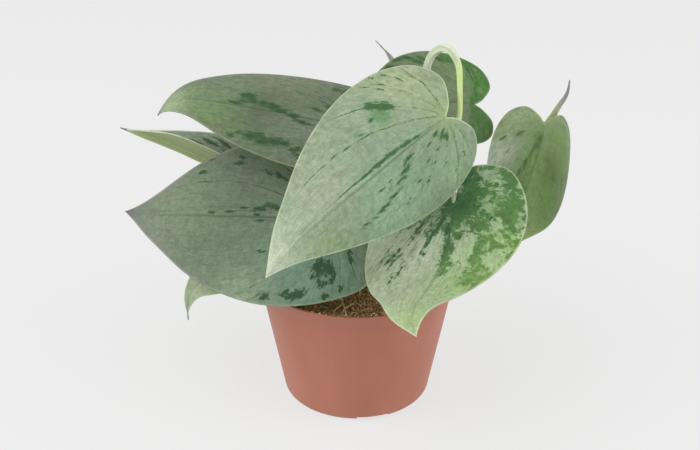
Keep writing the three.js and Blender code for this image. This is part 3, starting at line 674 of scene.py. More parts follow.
# a rounded lip between the two sides: its points, and faces that join them to the edges of both
def bladeLip(top, bottom, edgeLoop, t):
    layer, count = len(top), len(edgeLoop)
    middle = (top + bottom) / 2
    towardsRib = [k if k >= layer - 2 else k + (1 if t[k] < 0 else -1) for k in edgeLoop]
    outwards = middle[edgeLoop] - middle[towardsRib]
    size = np.maximum(np.linalg.norm(outwards, axis=1, keepdims=True), 1e-6)
    points = middle[edgeLoop] + outwards / size * blade["lip"] * (size > 1e-5)
    faces = []
    for a in range(count):
        b = (a + 1) % count
        faces.append((edgeLoop[b], edgeLoop[a], 2 * layer + a, 2 * layer + b))
        faces.append((2 * layer + b, 2 * layer + a, edgeLoop[a] + layer, edgeLoop[b] + layer))
    return points, faces


def makeBlade(name, leaf, material):
    rows, columns = blade["rows"], 2 * blade["columns"] + 1
    s, t = bladeGrid(rows, columns)
    across, u = laidFlat(leaf, s, t)
    width = np.where(t > 0, leaf["right"], leaf["left"])
    flat = np.stack([across * width, u * leaf["length"]], -1)
    flow, span = veinFlow(leaf, flat)
    seed = sum(map(ord, name))
    marks = scatteredMarks(name) if leaf["marks"] is None else leaf["marks"]
    apart = np.where(flat[:, 0] >= 0, blade["halvesApart"], -blade["halvesApart"])
    perPoint = {
        "flow": np.column_stack([flow * leaf["length"] / 4, apart]),
        "flat": np.column_stack([flat, apart]),
        "phase": veinPhase(flow, flat, seed), "veinSpan": span * blade["veinSpacing"],
        "edge": edgeDistance(leaf, flat), "rib": np.abs(flat[:, 0]), "along": u,
        "mark": markDepth(leaf, flow, marks), "zone": greenGround(leaf, flat),
        "tint": washed(leaf, flat, leaf["silver"], leaf["washes"]),
        "lush": washed(leaf, flat, leaf["green"], leaf["greens"]),
    }
    top, bottom = bladeSides(leaf, s, t, perPoint, noiseOn(flat, blade["waverReach"], seed))
    faces, edgeLoop = bladeFaces(rows, columns)
    lipPoints, lip = bladeLip(top, bottom, edgeLoop, t)
    layer = len(top)
    under = [tuple(k + layer for k in reversed(face)) for face in faces]
    attributes = {key: np.concatenate([v, v, v[edgeLoop]]) for key, v in perPoint.items()}
    attributes["upper"] = np.concatenate([np.ones(layer), np.zeros(layer), np.full(len(edgeLoop), 0.5)])
    points = np.concatenate([top, bottom, lipPoints])
    mesh = newMesh(name + "Blade", points, faces + under + lip, material, attributes)
    placePiece(name + "Blade", mesh, leaf["node"])


# noise that is drawn out along the veins, in threads and in plumes, and noise that is even
def leafPatterns(tree, flow, flat):
    drawn = addNode(tree, "VectorMath", (flow, (0.11, 0.85, 1.0)), operation="MULTIPLY")
    plumed = addNode(tree, "VectorMath", (flow, (0.24, 0.48, 1.0)), operation="MULTIPLY")
    patterns = {
        "threads": {"Vector": drawn, "Scale": 1.0, "Detail": 6.0, "Roughness": 0.62},
        "plumes": {"Vector": plumed, "Scale": 1.0, "Detail": 5.0, "Roughness": 0.62},
        "mottle": {"Vector": flat, "Scale": 0.30, "Detail": 6.0, "Roughness": 0.66},
        "clouds": {"Vector": flat, "Scale": 0.07, "Detail": 3.0},
        "grain": {"Vector": flat, "Scale": 1.6, "Detail": 3.0},
        "islands": {"Vector": flat, "Scale": 0.19, "Detail": 5.0, "Roughness": 0.6, "Distortion": 0.6},
    }
    return [addNode(tree, "TexNoise", values) for values in patterns.values()]


# a vein's own number from 0 to 1, and how many mm away it is: straight, frayed, and for the finer veins
# that lie between, three to a gap
def leafVeins(tree, phase, veinSpan, mottle):
    number = addNode(tree, "Math", (phase,), operation="ROUND")
    own = addNode(tree, "TexWhiteNoise", {"W": number}, noise_dimensions="1D")
    aside, finer = (addNode(tree, "Math", (phase, gap), operation="PINGPONG") for gap in (0.5, 0.1666))
    aside, finer = (addNode(tree, "Math", (gap, veinSpan), operation="MULTIPLY") for gap in (aside, finer))
    frayed = addNode(tree, "Math", (mottle, 1.6, -0.8), operation="MULTIPLY_ADD")
    return own, aside, addNode(tree, "Math", (aside, frayed), operation="ADD"), finer


# Satin pothos leaf: a thick waxy blade, silver air-filled patches over green. The satin comes from low
# papillae, which are too fine to show and are drawn as a half-millimetre grain.
def leafMaterial(name, leaf):
    material, tree = newMaterial("satinLeaf" + name[4:])
    places = ("flow", "flat", "tint", "lush")
    numbers = ("phase", "veinSpan", "mark", "zone", "edge", "rib", "along", "upper")
    read = {key: addNode(tree, "Attribute", attribute_name=key).outputs for key in places + numbers}
    flow, flat, tint, lush = (read[key]["Vector"] for key in places)
    phase, veinSpan, mark, zone, edge, rib, along, upper = (read[key]["Fac"] for key in numbers)
    green, deep, fade, nibble = leaf["green"], leaf["deep"], leaf["soft"], leaf["nibble"]
    rimColour, rimStrength = leaf["rim"]
    tipColour, tipStart = leaf["tip"]
    threads, plumes, mottle, clouds, grain, islands = leafPatterns(tree, flow, flat)
    own, aside, frayed, finer = leafVeins(tree, phase, veinSpan, mottle)

    # silver, lighter and darker from millimetre to millimetre
    tone = 1.0
    swings = (mottle, 0.22), (grain, 0.17), (threads, -0.05), (plumes, -0.06), (islands, 0.15), (clouds, 0.10)
    for ripple, swing in swings:
        factor = addNode(tree, "MapRange", (ripple, 0.30, 0.70, 1 - swing, 1 + swing))
        tone = addNode(tree, "Math", (tone, factor), operation="MULTIPLY")
    silver = addNode(tree, "VectorMath", {0: tint, "Scale": tone}, operation="SCALE")
    # a paler copy of the silver: the painted highlight on the raised ridges beside each vein
    pale = addNode(tree, "VectorMath", {0: tint, "Scale": 1.35}, operation="SCALE")
    wisps = addNode(tree, "Math", (threads, plumes), operation="ADD")

    # green ground, lighter in plumes, with islands of silver left standing in it
    lightPlume = addNode(tree, "MapRange", (islands, 0.35, 0.65, 1.28, 0.78))
    lushTone = addNode(tree, "Math", (lightPlume, tone), operation="MULTIPLY")
    ground = addNode(tree, "VectorMath", {0: lush, "Scale": lushTone}, operation="SCALE")
    jitter = zone
    for ripple, strength in ((plumes, 1.5), (mottle, 1.5), (islands, leaf["island"])):
        amount = strength * leaf["feather"]
        centred = addNode(tree, "Math", (ripple, amount, -0.5 * amount), operation="MULTIPLY_ADD")
        jitter = addNode(tree, "Math", (jitter, centred), operation="ADD")

    # small marks are nibbled at their edges; the middle of three noises added up is 1.5
    nibbled = addNode(tree, "Math", (mottle, wisps), operation="ADD")
    nibbled = addNode(tree, "Math", (nibbled, nibble, -1.5 * nibble), operation="MULTIPLY_ADD")
    margin = addNode(tree, "MapRange", (mark, 0.0, 0.9, 1.0, 0.2))
    marked = addNode(tree, "Math", (nibbled, margin, mark), operation="MULTIPLY_ADD")

    # ramps: what each one reads, from and to which value, and what it gives there, 0 and 1 unless said
    ramps = {
        "streaked": (wisps, 0.98, 1.30, 0.0, leaf["streak"]), "clouded": (clouds, 0.48, 0.72, 0.0, 0.35),
        "half": (jitter, -0.42, 0.12, 0.0, 0.5),
        "markEdge": (marked, -0.55 - fade, 0.25, 0.0, 0.7 - 0.2 * fade),
        "markCore": (marked, -0.05, 0.50 + fade, 0.0, 0.95 - 0.3 * fade),
        "line": (frayed, 0.15, 0.90, 1.0, 0.0), "strength": (own, 0.1, 1.0, 0.2, leaf["veins"]),
        "fading": (wisps, 0.90, 1.15, 0.15, 1.0), "inside": (edge, 1.0, 7.0),
        "near": (along, 0.25, 0.85, 1.0, 0.45), "fineLine": (finer, 0.05, 0.40, 0.2, 0.0),
        "broken": (mottle, 0.46, 0.60), "ridgeLit": (aside, 0.90, 2.2, 0.30, 0.0),
        "ribLine": (rib, 0.2, 0.9, 0.55, 0.0), "ribFade": (along, 0.2, 0.9, 1.0, 0.25),
        "ribStart": (along, 0.03, 0.16, 0.2), "rimLine": (edge, 0.25, 1.0, rimStrength, 0.0),
        "outer": (edge, 0.8, 5.0, 1.0, 0.0), "ahead": (along, 0.3, 0.8, 0.0, leaf["dusk"]),
        "tipEnd": (along, tipStart, tipStart + 0.03, 0.0, 0.85),
        "paleVein": (aside, 0.3, 1.6, 0.35, 0.0), "paleRib": (rib, 0.8, 2.4, 0.6, 0.0),
        "gloss": (plumes, 0.0, 1.0, 0.44, 0.58),
    }
    made = {key: addNode(tree, "MapRange", row) for key, row in ramps.items()}
    made["full"] = addNode(tree, "MapRange", (jitter, -0.10, 0.30), interpolation_type="SMOOTHSTEP")
    # veins fade in places and towards the margin, the midrib towards the tip, and dusk comes from there
    products = {
        "vein": ("line", "strength", "fading", "inside", "near"),
        "fineVein": ("fineLine", "broken", "inside", "near"),
        "ridgeHighlight": ("ridgeLit", "fading"), "midrib": ("ribLine", "ribFade", "ribStart"),
        "dusk": ("outer", "ahead"),
    }
    for key, (first, *others) in products.items():
        made[key] = made[first]
        for other in others:
            made[key] = addNode(tree, "Math", (made[key], made[other]), operation="MULTIPLY")

    # the underside has no silver: plain yellow-green, with paler veins
    ends = [("rimLine", rimColour), ("tipEnd", tipColour)]
    # on the face, the ridges beside the veins get a painted highlight
    faceLayers = [
        ("streaked", green), ("clouded", ground), ("ridgeHighlight", pale), ("fineVein", green), ("half", ground),
        ("full", ground), ("markEdge", green), ("markCore", deep), ("vein", deep), ("midrib", deep),
        ("dusk", "#77756E"), *ends,
    ]
    backLayers = [
        ("clouded", "#73864F"), ("streaked", "#768A52"), ("paleVein", "#A9B482"),
        ("paleRib", "#B0BA86"), *ends,
    ]
    face, back = (overlaid(tree, base, [(made[key], colour) for key, colour in layers])
                  for base, layers in ((silver, faceLayers), ("#83945A", backLayers)))
    height = addNode(tree, "Math", (threads, 1.8, grain), operation="MULTIPLY_ADD")
    height = addNode(tree, "Math", (mottle, 1.6, height), operation="MULTIPLY_ADD")
    return finish(material, {
        "Base Color": overlaid(tree, back, [(upper, face)]), "Roughness": made["gloss"], "IOR": 1.42,
        "Specular IOR Level": 0.35, "Sheen Weight": 0.08,
    }, height, 0.45, 0.2)


# Petioles and stems

# points spaced evenly along the curve through a path, with two directions across it at each
def sweptFrames(path, steps, towards):
    fine = curveThrough(path, np.linspace(0, 1, 40 * len(path)), "extend")
    lengths = np.concatenate([[0], np.cumsum(np.linalg.norm(np.diff(fine, axis=0), axis=1))])
    even = np.linspace(0, lengths[-1], steps + 1)
    points = np.stack([np.interp(even, lengths, fine[:, k]) for k in range(3)], -1)
    tangents = np.gradient(points, axis=0)
    tangents /= np.linalg.norm(tangents, axis=1, keepdims=True)
    across = []
    lean = np.asarray(towards, float)
    for tangent in tangents:
        lean = lean - tangent * (lean @ tangent)
        lean = lean / np.linalg.norm(lean)
        across.append(lean)
    across = np.array(across)
    return points, across, np.cross(tangents, across), even


def pathLength(path):
    return np.linalg.norm(np.diff(path, axis=0), axis=1).sum()


# quads between rings of points, closed by a fan to one more point at each end
def ringFaces(rings, sides):
    faces = []
    for i in range(rings - 1):
        for j in range(sides):
            a, b = i * sides + j, i * sides + (j + 1) % sides
            faces.append((a, b, b + sides, a + sides))
    start, last = rings * sides, (rings - 1) * sides
    for j in range(sides):
        following = (j + 1) % sides
        faces.append((start, following, j))
        faces.append((start + 1, last + j, last + following))
    return faces


# a closed tube whose radius is given for each ring and each angle
def sweptTube(points, first, second, radii):
    rings, sides = radii.shape
    angles = np.linspace(0, 2 * math.pi, sides, endpoint=False)
    ring = first[:, None] * np.cos(angles)[None, :, None] + second[:, None] * np.sin(angles)[None, :, None]
    verts = (points[:, None] + ring * radii[..., None]).reshape(-1, 3)
    return np.concatenate([verts, points[:1], points[-1:]]), ringFaces(rings, sides)


# places on a tube, in mm, for streaks that are drawn out along it; the two ends come last
def streakPlaces(along, sides, lengthways=0.06, radius=2):
    around = np.tile(np.linspace(0, 2 * math.pi, sides, endpoint=False), len(along))
    drawnOut = np.repeat(along, sides) * lengthways
    onTube = np.column_stack([drawnOut, radius * np.cos(around), radius * np.sin(around)])
    return np.concatenate([onTube, np.zeros((2, 3))])


# lengths are in mm and the rest are shares of the radius, of the petiole's length or angles in radians
stalkShape = {
    "sides": 24, "step": 1.4, "channel": 0.32, "channelWidth": 0.5, "wing": 0.08, "wingAt": 0.85,
    "wingWidth": 0.3, "bareChannel": 0.2, "bared": 0.12, "flap": 0.03, "collar": 1.3, "collarLength": 5.0,
    "underBlade": (0.12, 0.32), "underBy": 0.8, "endsAt": 0.6, "channelShadeWidth": 0.6,
}


def makePetiole(name, leaf, material):
    stalk, sides = leaf["stalk"], stalkShape["sides"]
    s, t = np.array(stalkShape["underBlade"]), np.zeros(2)
    under = bladeSurface(leaf, s, t) - bladeNormals(leaf, s, t) * stalkShape["underBy"] * stalk[-1]
    path = np.concatenate([np.array(leaf["petiole"], float), under])
    outwards = path[1] - path[0]
    towards = np.array([-outwards[0], -outwards[1], abs(outwards[2]) + 1.0])
    steps = int(pathLength(path) / stalkShape["step"])
    points, first, second, along = sweptFrames(path, steps, towards)
    share = along / along[-1]
    radii = [*stalk, stalkShape["endsAt"] * stalk[-1]]
    radius = np.interp(share, np.linspace(0, 1, len(radii)), radii)
    radius *= 1 + (stalkShape["collar"] - 1) * bell(along, stalkShape["collarLength"])
    # the sheath is a channel between two wings, and ends obliquely where the bared stalk is thinner
    angles = np.linspace(0, 2 * math.pi, sides, endpoint=False)
    fromChannel = np.abs((angles + math.pi) % (2 * math.pi) - math.pi)
    ending = leaf["sheathEnd"] + stalkShape["flap"] * np.cos(angles)[None, :]
    sheathed = 1 - smoothstep(-0.02, 0.012, share[:, None] - ending)
    channel = -stalkShape["channel"] * bell(fromChannel, stalkShape["channelWidth"])
    wings = stalkShape["wing"] * bell(fromChannel - stalkShape["wingAt"], stalkShape["wingWidth"])
    bareChannel = stalkShape["bareChannel"]
    shape = 1 + (channel + wings)[None, :] * (bareChannel + (1 - bareChannel) * sheathed)
    shape -= stalkShape["bared"] * (1 - sheathed)
    verts, faces = sweptTube(points, first, second, radius[:, None] * shape)
    # where the channel's hollow lies, for the shade painted in it
    channelShade = np.tile(bell(fromChannel, stalkShape["channelShadeWidth"]), len(points))
    mesh = newMesh(name + "Petiole", verts, faces, material, {
        "share": np.concatenate([np.repeat(share, sides), [0, 1]]),
        "sheathed": np.concatenate([sheathed.ravel(), [1, 0]]),
        "channelled": np.concatenate([channelShade, [0, 0]]),
        "streakPlace": streakPlaces(along, sides),
    })
    placePiece(name + "Petiole", mesh, leaf["node"])


# Petiole: smooth living tissue, sheathed and duller near the stem, brighter towards the blade.
def stalkMaterial(name, leaf):
    material, tree = newMaterial(name)
    keys = ("share", "sheathed", "channelled", "streakPlace")
    read = {key: addNode(tree, "Attribute", attribute_name=key).outputs for key in keys}
    share, sheathed, channelled = (read[key]["Fac"] for key in keys[:3])
    place = read["streakPlace"]["Vector"]
    streaks = addNode(tree, "TexNoise", {"Vector": place, "Scale": 1.6, "Detail": 4.0})
    coordinates = addNode(tree, "TexCoord").outputs["Object"]
    pores = addNode(tree, "TexNoise", {"Vector": coordinates, "Scale": 1400.0, "Detail": 2.0})
    end = leaf["sheathEnd"]
    arch, streaked, atBlade = (addNode(tree, "MapRange", row) for row in (
        (share, 0.5 * end, 0.9 * end), (streaks, 0.45, 0.75, 0.0, 0.35), (share, 0.86, 0.91)))
    # inside the sheath's channel a darker green is painted as the shade in that hollow
    inner = addNode(tree, "Math", (sheathed, channelled), operation="MULTIPLY")
    inner = addNode(tree, "Math", (inner, 0.45), operation="MULTIPLY")
    sheath, middle, bright = leaf["stalkColours"]
    covered = overlaid(tree, sheath, [(arch, middle), (inner, "#9CB27A")])
    colour = overlaid(tree, bright, [(sheathed, covered), (streaked, "#96A76B"), (atBlade, leaf["joint"])])
    height = addNode(tree, "Math", (streaks, 2.0, pores), operation="MULTIPLY_ADD")
    return finish(material, {"Base Color": colour, "Roughness": 0.45, "IOR": 1.42}, height, 0.3, 0.2)


for name, own in leaves.items():
    leaf = {**usual, **own}
    makeBlade(name, leaf, leafMaterial(name, leaf))
    makePetiole(name, leaf, stalkMaterial("petiole" + name[4:], leaf))
    print(name, "made")

# joints: the heights of a stem's leaf scars
stems = {
    "stemFront": {
        "node": "stem_front", "joints": (86, 99),
        "path": [(14, -4, 44), (15, -3, 70), (17, -1, 86), (20, 4, 101), (21, 6, 106)],
    },
    "stemLeft": {
        "node": "stem_left", "joints": (83, 92, 103),
        "path": [(-18, 3, 44), (-18, 4.6, 70), (-16.8, 8.6, 92), (-15, 12, 108)],
    },
    "stemRight": {
        "node": "stem_right", "joints": (84.5, 93.2, 99.7, 116),
        "path": [(21, 26, 44), (24, 26, 70), (42, 27, 92), (68, 28, 108), (92, 28, 124)],
    },
    "stemBack": {
        "node": "stem_back", "joints": (84.5, 93, 106),
        "path": [(-3, 34, 44), (-4, 36, 70), (-6, 40, 91), (-8, 44, 110)],
    },
}
stemShape = {
    "radius": 2.6, "topShare": 0.85, "sides": 24, "step": 0.9, "jointSwell": 0.22, "jointLength": 1.5,
    "endShares": (0.85, 0.45),
}


def makeStem(name, stem, material):
    path, sides = np.array(stem["path"], float), stemShape["sides"]
    steps = int(pathLength(path) / stemShape["step"])
    points, first, second, along = sweptFrames(path, steps, (1, 0, 0))
    share = along / along[-1]
    radius = stemShape["radius"] * (1 + (stemShape["topShare"] - 1) * smoothstep(0.5, 1, share))
    scar = np.zeros_like(share)
    for height in stem["joints"]:
        at = along[np.abs(points[:, 2] - height).argmin()]
        scar = np.maximum(scar, bell(along - at, stemShape["jointLength"]))
    radius = radius * (1 + stemShape["jointSwell"] * scar)
    radius[-2:] *= stemShape["endShares"]
    # low ridges run along the stem
    angles = np.linspace(0, 2 * math.pi, sides, endpoint=False)
    ridges = 1 + 0.03 * np.cos(7 * angles)[None, :] + 0.02 * np.cos(3 * angles + 1)[None, :]
    verts, faces = sweptTube(points, first, second, radius[:, None] * ridges)
    mesh = newMesh(name, verts, faces, material, {"scar": np.concatenate([np.repeat(scar, sides), [0, 0]])})
    placePiece(name, mesh, stem["node"])


# Stem: green cortex, browner and rougher at the leaf scars and towards the mix.
def stemMaterial():
    material, tree = newMaterial("greenStem")
    coordinates = addNode(tree, "TexCoord").outputs["Object"]
    stretched = addNode(tree, "Mapping", {"Vector": coordinates, "Scale": (1.0, 1.0, 0.15)})
    fibres = addNode(tree, "TexNoise", {"Vector": stretched, "Scale": 1500.0, "Detail": 4.0})
    blotches = addNode(tree, "TexNoise", {"Vector": coordinates, "Scale": 220.0, "Detail": 3.0})
    scar = addNode(tree, "Attribute", attribute_name="scar").outputs["Fac"]
    height = addNode(tree, "SeparateXYZ", (coordinates,)).outputs["Z"]
    low, speckled, streaked = (addNode(tree, "MapRange", row) for row in (
        (height, 0.078, 0.100, 0.7, 0.0), (blotches, 0.5, 0.7, 0.0, 0.6), (fibres, 0.45, 0.75, 0.0, 0.4)))
    colour = overlaid(tree, "#7F8F55", [
        (streaked, "#9AA66C"), (speckled, "#6B6A40"), (low, "#6B5A3C"), (scar, "#8A7A52")])
    return finish(material, {"Base Color": colour, "Roughness": 0.5}, fibres, 0.4, 0.3)


greenStem = stemMaterial()
for name, stem in stems.items():
    makeStem(name, stem, greenStem)
print("stems made")

spear = {
    "node": "leaf_rolled", "sides": 28, "step": 0.8, "overlap": 0.16, "turns": 0.45, "lipWidth": 0.06,
    "path": [(91, 28, 123.4), (101, 32, 141), (109.5, 29, 157), (115, 27.5, 168.3), (117.8, 26.8, 173.5),
             (119.3, 26.3, 178.3), (119.7, 25.5, 184.8)],
    "radii": (2.0, 2.3, 2.3, 2.0, 1.4, 0.4),
}


# Young rolled leaf: tender and bright below, its drip tip already grey-purple.
def spearMaterial():
    material, tree = newMaterial("youngRolledLeaf")
    keys = ("streakPlace", "share", "lip")
    place, share, lip = (addNode(tree, "Attribute", attribute_name=key).outputs for key in keys)
    streaks = addNode(tree, "TexNoise", {"Vector": place["Vector"], "Scale": 2.4, "Detail": 4.0})
    streaked, middle, ageing = (addNode(tree, "MapRange", row) for row in (
        (streaks, 0.42, 0.7, 0.0, 0.5), (share["Fac"], 0.62, 0.72), (share["Fac"], 0.72, 0.84)))
    colour = overlaid(tree, "#AFC07F", [
        (streaked, "#93A86A"), (middle, "#A5A890"), (ageing, "#918B8A"), (lip["Fac"], "#C0C4A8")])
    return finish(material, {"Base Color": colour, "Roughness": 0.45}, streaks, 0.3, 0.2)


# The youngest leaf: a blade rolled round itself, its outer margin a step that winds up the spear.
def makeSpear(material):
    path, sides = np.array(spear["path"], float), spear["sides"]
    points, first, second, along = sweptFrames(path, int(pathLength(path) / spear["step"]), (0, -1, 0))
    share = along / along[-1]
    radius = np.interp(share, np.linspace(0, 1, len(spear["radii"])), spear["radii"])
    around = np.linspace(0, 1, sides, endpoint=False)
    wound = (around[None, :] - spear["turns"] * share[:, None]) % 1.0
    overlap = spear["overlap"] * smoothstep(0.05, 0.3, share) * (1 - 0.5 * share)
    shape = 1 - overlap[:, None] * (1 - wound)
    verts, faces = sweptTube(points, first, second, radius[:, None] * shape)
    mesh = newMesh("rolledLeaf", verts, faces, material, {
        "share": np.concatenate([np.repeat(share, sides), [0, 1]]),
        "lip": np.concatenate([bell(1 - wound, spear["lipWidth"]).ravel(), [0, 0]]),
        "streakPlace": streakPlaces(along, sides),
    })
    placePiece("rolledLeaf", mesh, spear["node"])


makeSpear(spearMaterial())
print("rolled leaf made")

# Pot

# hub and footRing: the radii between which the floor slopes up round its middle and down to the foot
pot = {
    "node": "pot", "rim": 60.0, "height": 80.0, "foot": 42.0, "wall": 1.6, "flareHeight": 11.0,
    "flareOut": 4.4, "corner": 4.6, "edgeRound": 1.4, "crease": 40, "segments": 288, "floorLift": 3.0,
    "hub": (8, 10), "footRing": (33, 35.5),
    "notches": 4, "notchSize": (16, 19.0, 5.4), "notchTurn": -77.0, "notchInset": 2,
    "drains": 6, "drainRadius": 4.0, "drainRing": 24.0, "drainDepth": 12, "drainTurn": 30,
}
shoulder = pot["height"] - pot["flareHeight"]
shoulderRadius = pot["rim"] - pot["flareOut"]


def outerRadius(height):
    return pot["foot"] + (shoulderRadius - pot["foot"]) / shoulder * height


def innerRadius(height):
    return outerRadius(height) - pot["wall"]


# a closed shell turned from a profile that starts and ends on the axis
def turned(profile, segments):
    angles = np.linspace(0, 2 * math.pi, segments, endpoint=False)
    inner = np.array(profile[1:-1], float)
    verts = np.stack([
        inner[:, None, 0] * np.cos(angles)[None], inner[:, None, 0] * np.sin(angles)[None],
        np.repeat(inner[:, 1:2], segments, 1),
    ], -1).reshape(-1, 3)
    verts = np.concatenate([verts, [[0, 0, profile[0][1]], [0, 0, profile[-1][1]]]])
    return verts, ringFaces(len(inner), segments)


# a profile with each inner corner rounded by a short arc of the given radius
def rounded(profile, radius, steps=4):
    points = [np.array(p, float) for p in profile]
    result = [points[0]]
    for before, here, after in zip(points, points[1:], points[2:]):
        back, ahead = before - here, after - here
        reach = min(radius, 0.45 * np.linalg.norm(back), 0.45 * np.linalg.norm(ahead))
        start = here + back / np.linalg.norm(back) * reach
        end = here + ahead / np.linalg.norm(ahead) * reach
        for k in range(steps + 1):
            w = k / steps
            result.append((1 - w) ** 2 * start + 2 * w * (1 - w) * here + w * w * end)
    return result + [points[-1]]


# the notches of the foot ring and the drain holes, as one mesh to cut with
def potCutters():
    cutters = bmesh.new()
    notchSize = Matrix.Diagonal([size * mm for size in pot["notchSize"]] + [1])
    notchPlace = Matrix.Translation(((pot["foot"] - pot["notchInset"]) * mm, 0, 0))
    for k in range(pot["notches"]):
        spin = Matrix.Rotation(math.radians(360 / pot["notches"] * k + pot["notchTurn"]), 4, "Z")
        bmesh.ops.create_cube(cutters, size=1, matrix=spin @ notchPlace @ notchSize)
    drainPlace = Matrix.Translation((pot["drainRing"] * mm, 0, pot["floorLift"] * mm))
    radius, depth = pot["drainRadius"] * mm, pot["drainDepth"] * mm
    for k in range(pot["drains"]):
        spin = Matrix.Rotation(math.radians(360 / pot["drains"] * k + pot["drainTurn"]), 4, "Z")
        bmesh.ops.create_cone(cutters, cap_ends=True, segments=32, radius1=radius, radius2=radius,
                              depth=depth, matrix=spin @ drainPlace)
    mesh = bpy.data.meshes.new("potCutters")
    cutters.to_mesh(mesh)
    cutters.free()
    return addObject("potCutters", mesh)


def makePot(material):
    height, rim, wall, lift = pot["height"], pot["rim"], pot["wall"], pot["floorLift"]
    inside, corner = lift + wall, pot["corner"]
    hub, footRing = pot["hub"], pot["footRing"]
    arc = [math.radians(15 * k) for k in range(7)]
    profile = [(0, 0), (hub[0], 0), (hub[1], lift), (footRing[0], lift), (footRing[1], 0)]
    profile += [(outerRadius(corner) - corner * (1 - math.sin(a)), corner * (1 - math.cos(a))) for a in arc]
    # out along the flare, over the lip of the rim and down inside
    profile += [
        (shoulderRadius, shoulder), (shoulderRadius + 1.2, shoulder + 3.5), (rim - 1, height - 3),
        (rim, height - 0.4), (rim - 0.4, height), (rim - wall, height - 0.2), (rim - wall - 1.1, height - 3),
        (shoulderRadius - wall + 1.1, shoulder + 3.5), (innerRadius(shoulder), shoulder + 0.3),
        (innerRadius(inside + 1), inside + 1), (innerRadius(inside) - 1, inside), (0, inside),
    ]
    verts, faces = turned(rounded(profile, pot["edgeRound"]), pot["segments"])
    blank, cutters = addObject("potBlank", newMesh("potBlank", verts, faces, material)), potCutters()
    cut = blank.modifiers.new("openings", "BOOLEAN")
    cut.object, cut.operation, cut.solver = cutters, "DIFFERENCE", "MANIFOLD"
    shell = settled(blank, "potShell")
    shell.set_sharp_from_angle(angle=math.radians(pot["crease"]))
    bpy.data.objects.remove(cutters)
    placePiece("nurseryPot", shell, pot["node"])
    print("pot cut,", len(shell.polygons), "faces")


# Thermoformed polypropylene, terracotta colour: satin and even, faintly mottled where it was drawn thin.
def potMaterial():
    material, tree = newMaterial("thermoformedPolypropylene")
    coordinates = addNode(tree, "TexCoord").outputs["Object"]
    drawn = addNode(tree, "Mapping", {"Vector": coordinates, "Scale": (1.0, 1.0, 0.35)})
    mottle, grain, scuffs = (addNode(tree, "TexNoise", values) for values in (
        {"Vector": drawn, "Scale": 45.0, "Detail": 3.0},
        {"Vector": coordinates, "Scale": 2600.0, "Detail": 2.0},
        {"Vector": coordinates, "Scale": 160.0, "Detail": 6.0, "Roughness": 0.7}))
    height = addNode(tree, "SeparateXYZ", (coordinates,)).outputs["Z"]
    mottled, foot, worn, flareShade, rough = (addNode(tree, "MapRange", row) for row in (
        (mottle, 0.35, 0.65, 0.0, 0.7), (height, 0.0, 0.012, 0.35, 0.0), (scuffs, 0.55, 0.72),
        (height, 0.064, 0.074, 0.0, 0.6), (mottle, 0.0, 1.0, 0.42, 0.54)))
    dusty = addNode(tree, "Math", (foot, worn), operation="MULTIPLY")
    # from just below the flare up to the rim the colour is darker: painted shade on the flare
    colour = overlaid(tree, "#B26E59", [(mottled, "#A8664D"), (flareShade, "#A4614A"), (dusty, "#8E6B5C")])
    return finish(material, {"Base Color": colour, "Roughness": rough, "IOR": 1.49}, grain, 0.12, 0.1)


makePot(potMaterial())
print("pot made")

# Potting mix

# lumps: how far apart in mm, how strong and the seed
mix = {
    "node": "soil", "top": 76.0, "mound": 3.0, "gap": 0.3, "chamfer": 2, "segments": 160, "rings": 46,
    "lumpHeight": 1.2, "lumps": ((7, 0.7, 3), (2.2, 0.45, 8)), "edgeGap": 1.5, "bedLift": 0.2,
}


def mixTopHeight(radius, edge):
    return mix["top"] + mix["mound"] * math.sin((1 - min(radius / edge, 1)) * math.pi / 2)


def makeMix(material):
    rings, gap, chamfer = mix["rings"], mix["gap"], mix["chamfer"]
    bottom, edge = pot["floorLift"] + pot["wall"] + gap, innerRadius(mix["top"]) - gap
    profile = [
        (0, bottom), (innerRadius(bottom) - chamfer, bottom),
        (innerRadius(bottom + chamfer) - gap, bottom + chamfer), (innerRadius(shoulder) - gap, shoulder),
    ]
    radii = [edge * (1 - k / rings) for k in range(rings + 1)]
    profile += [(radius, mixTopHeight(radius, edge)) for radius in radii]
    verts, faces = turned(profile, mix["segments"])
    onTop = verts[:, 2] >= mix["top"] - 0.01
    rise = sum(share * noiseOn(verts[onTop, :2], reach, seed) for reach, share, seed in mix["lumps"])
    verts[onTop, 2] += mix["lumpHeight"] * rise
    placePiece("pottingMix", newMesh("pottingMix", verts, faces, material), mix["node"])


# Peat: dark, damp and crumbly, with lighter coir dust caught in it.
def peatMaterial():
    material, tree = newMaterial("dampPeat")
    coordinates = addNode(tree, "TexCoord").outputs["Object"]
    crumbs = addNode(tree, "TexNoise", {
        "Vector": coordinates, "Scale": 900.0, "Detail": 8.0, "Roughness": 0.7})
    clods = addNode(tree, "TexNoise", {"Vector": coordinates, "Scale": 160.0, "Detail": 4.0})
    light = addNode(tree, "MapRange", (crumbs, 0.48, 0.68, 0.0, 0.85))
    clodded = addNode(tree, "MapRange", (clods, 0.4, 0.65, 0.0, 0.8))
    colour = overlaid(tree, "#6A523D", [(clodded, "#967556"), (light, "#D6B384")])
    return finish(material, {
        "Base Color": colour, "Roughness": 0.95, "Specular IOR Level": 0.2}, crumbs, 0.8, 0.8)


# Bark, coir and husk: dry brown to golden, each piece its own shade.
def litterMaterial(name, dark, middle, light):
    material, tree = newMaterial(name)
    own = addNode(tree, "NewGeometry").outputs["Random Per Island"]
    coordinates = addNode(tree, "TexCoord").outputs["Object"]
    grain = addNode(tree, "TexNoise", {"Vector": coordinates, "Scale": 1800.0, "Detail": 4.0})
    first, second, grained = (addNode(tree, "MapRange", row) for row in (
        (own, 0.15, 0.5), (own, 0.55, 0.95), (grain, 0.45, 0.75, 0.0, 0.4)))
    colour = overlaid(tree, dark, [(first, middle), (second, light), (grained, dark)])
    return finish(material, {"Base Color": colour, "Roughness": 0.85}, grain, 0.5, 0.3)


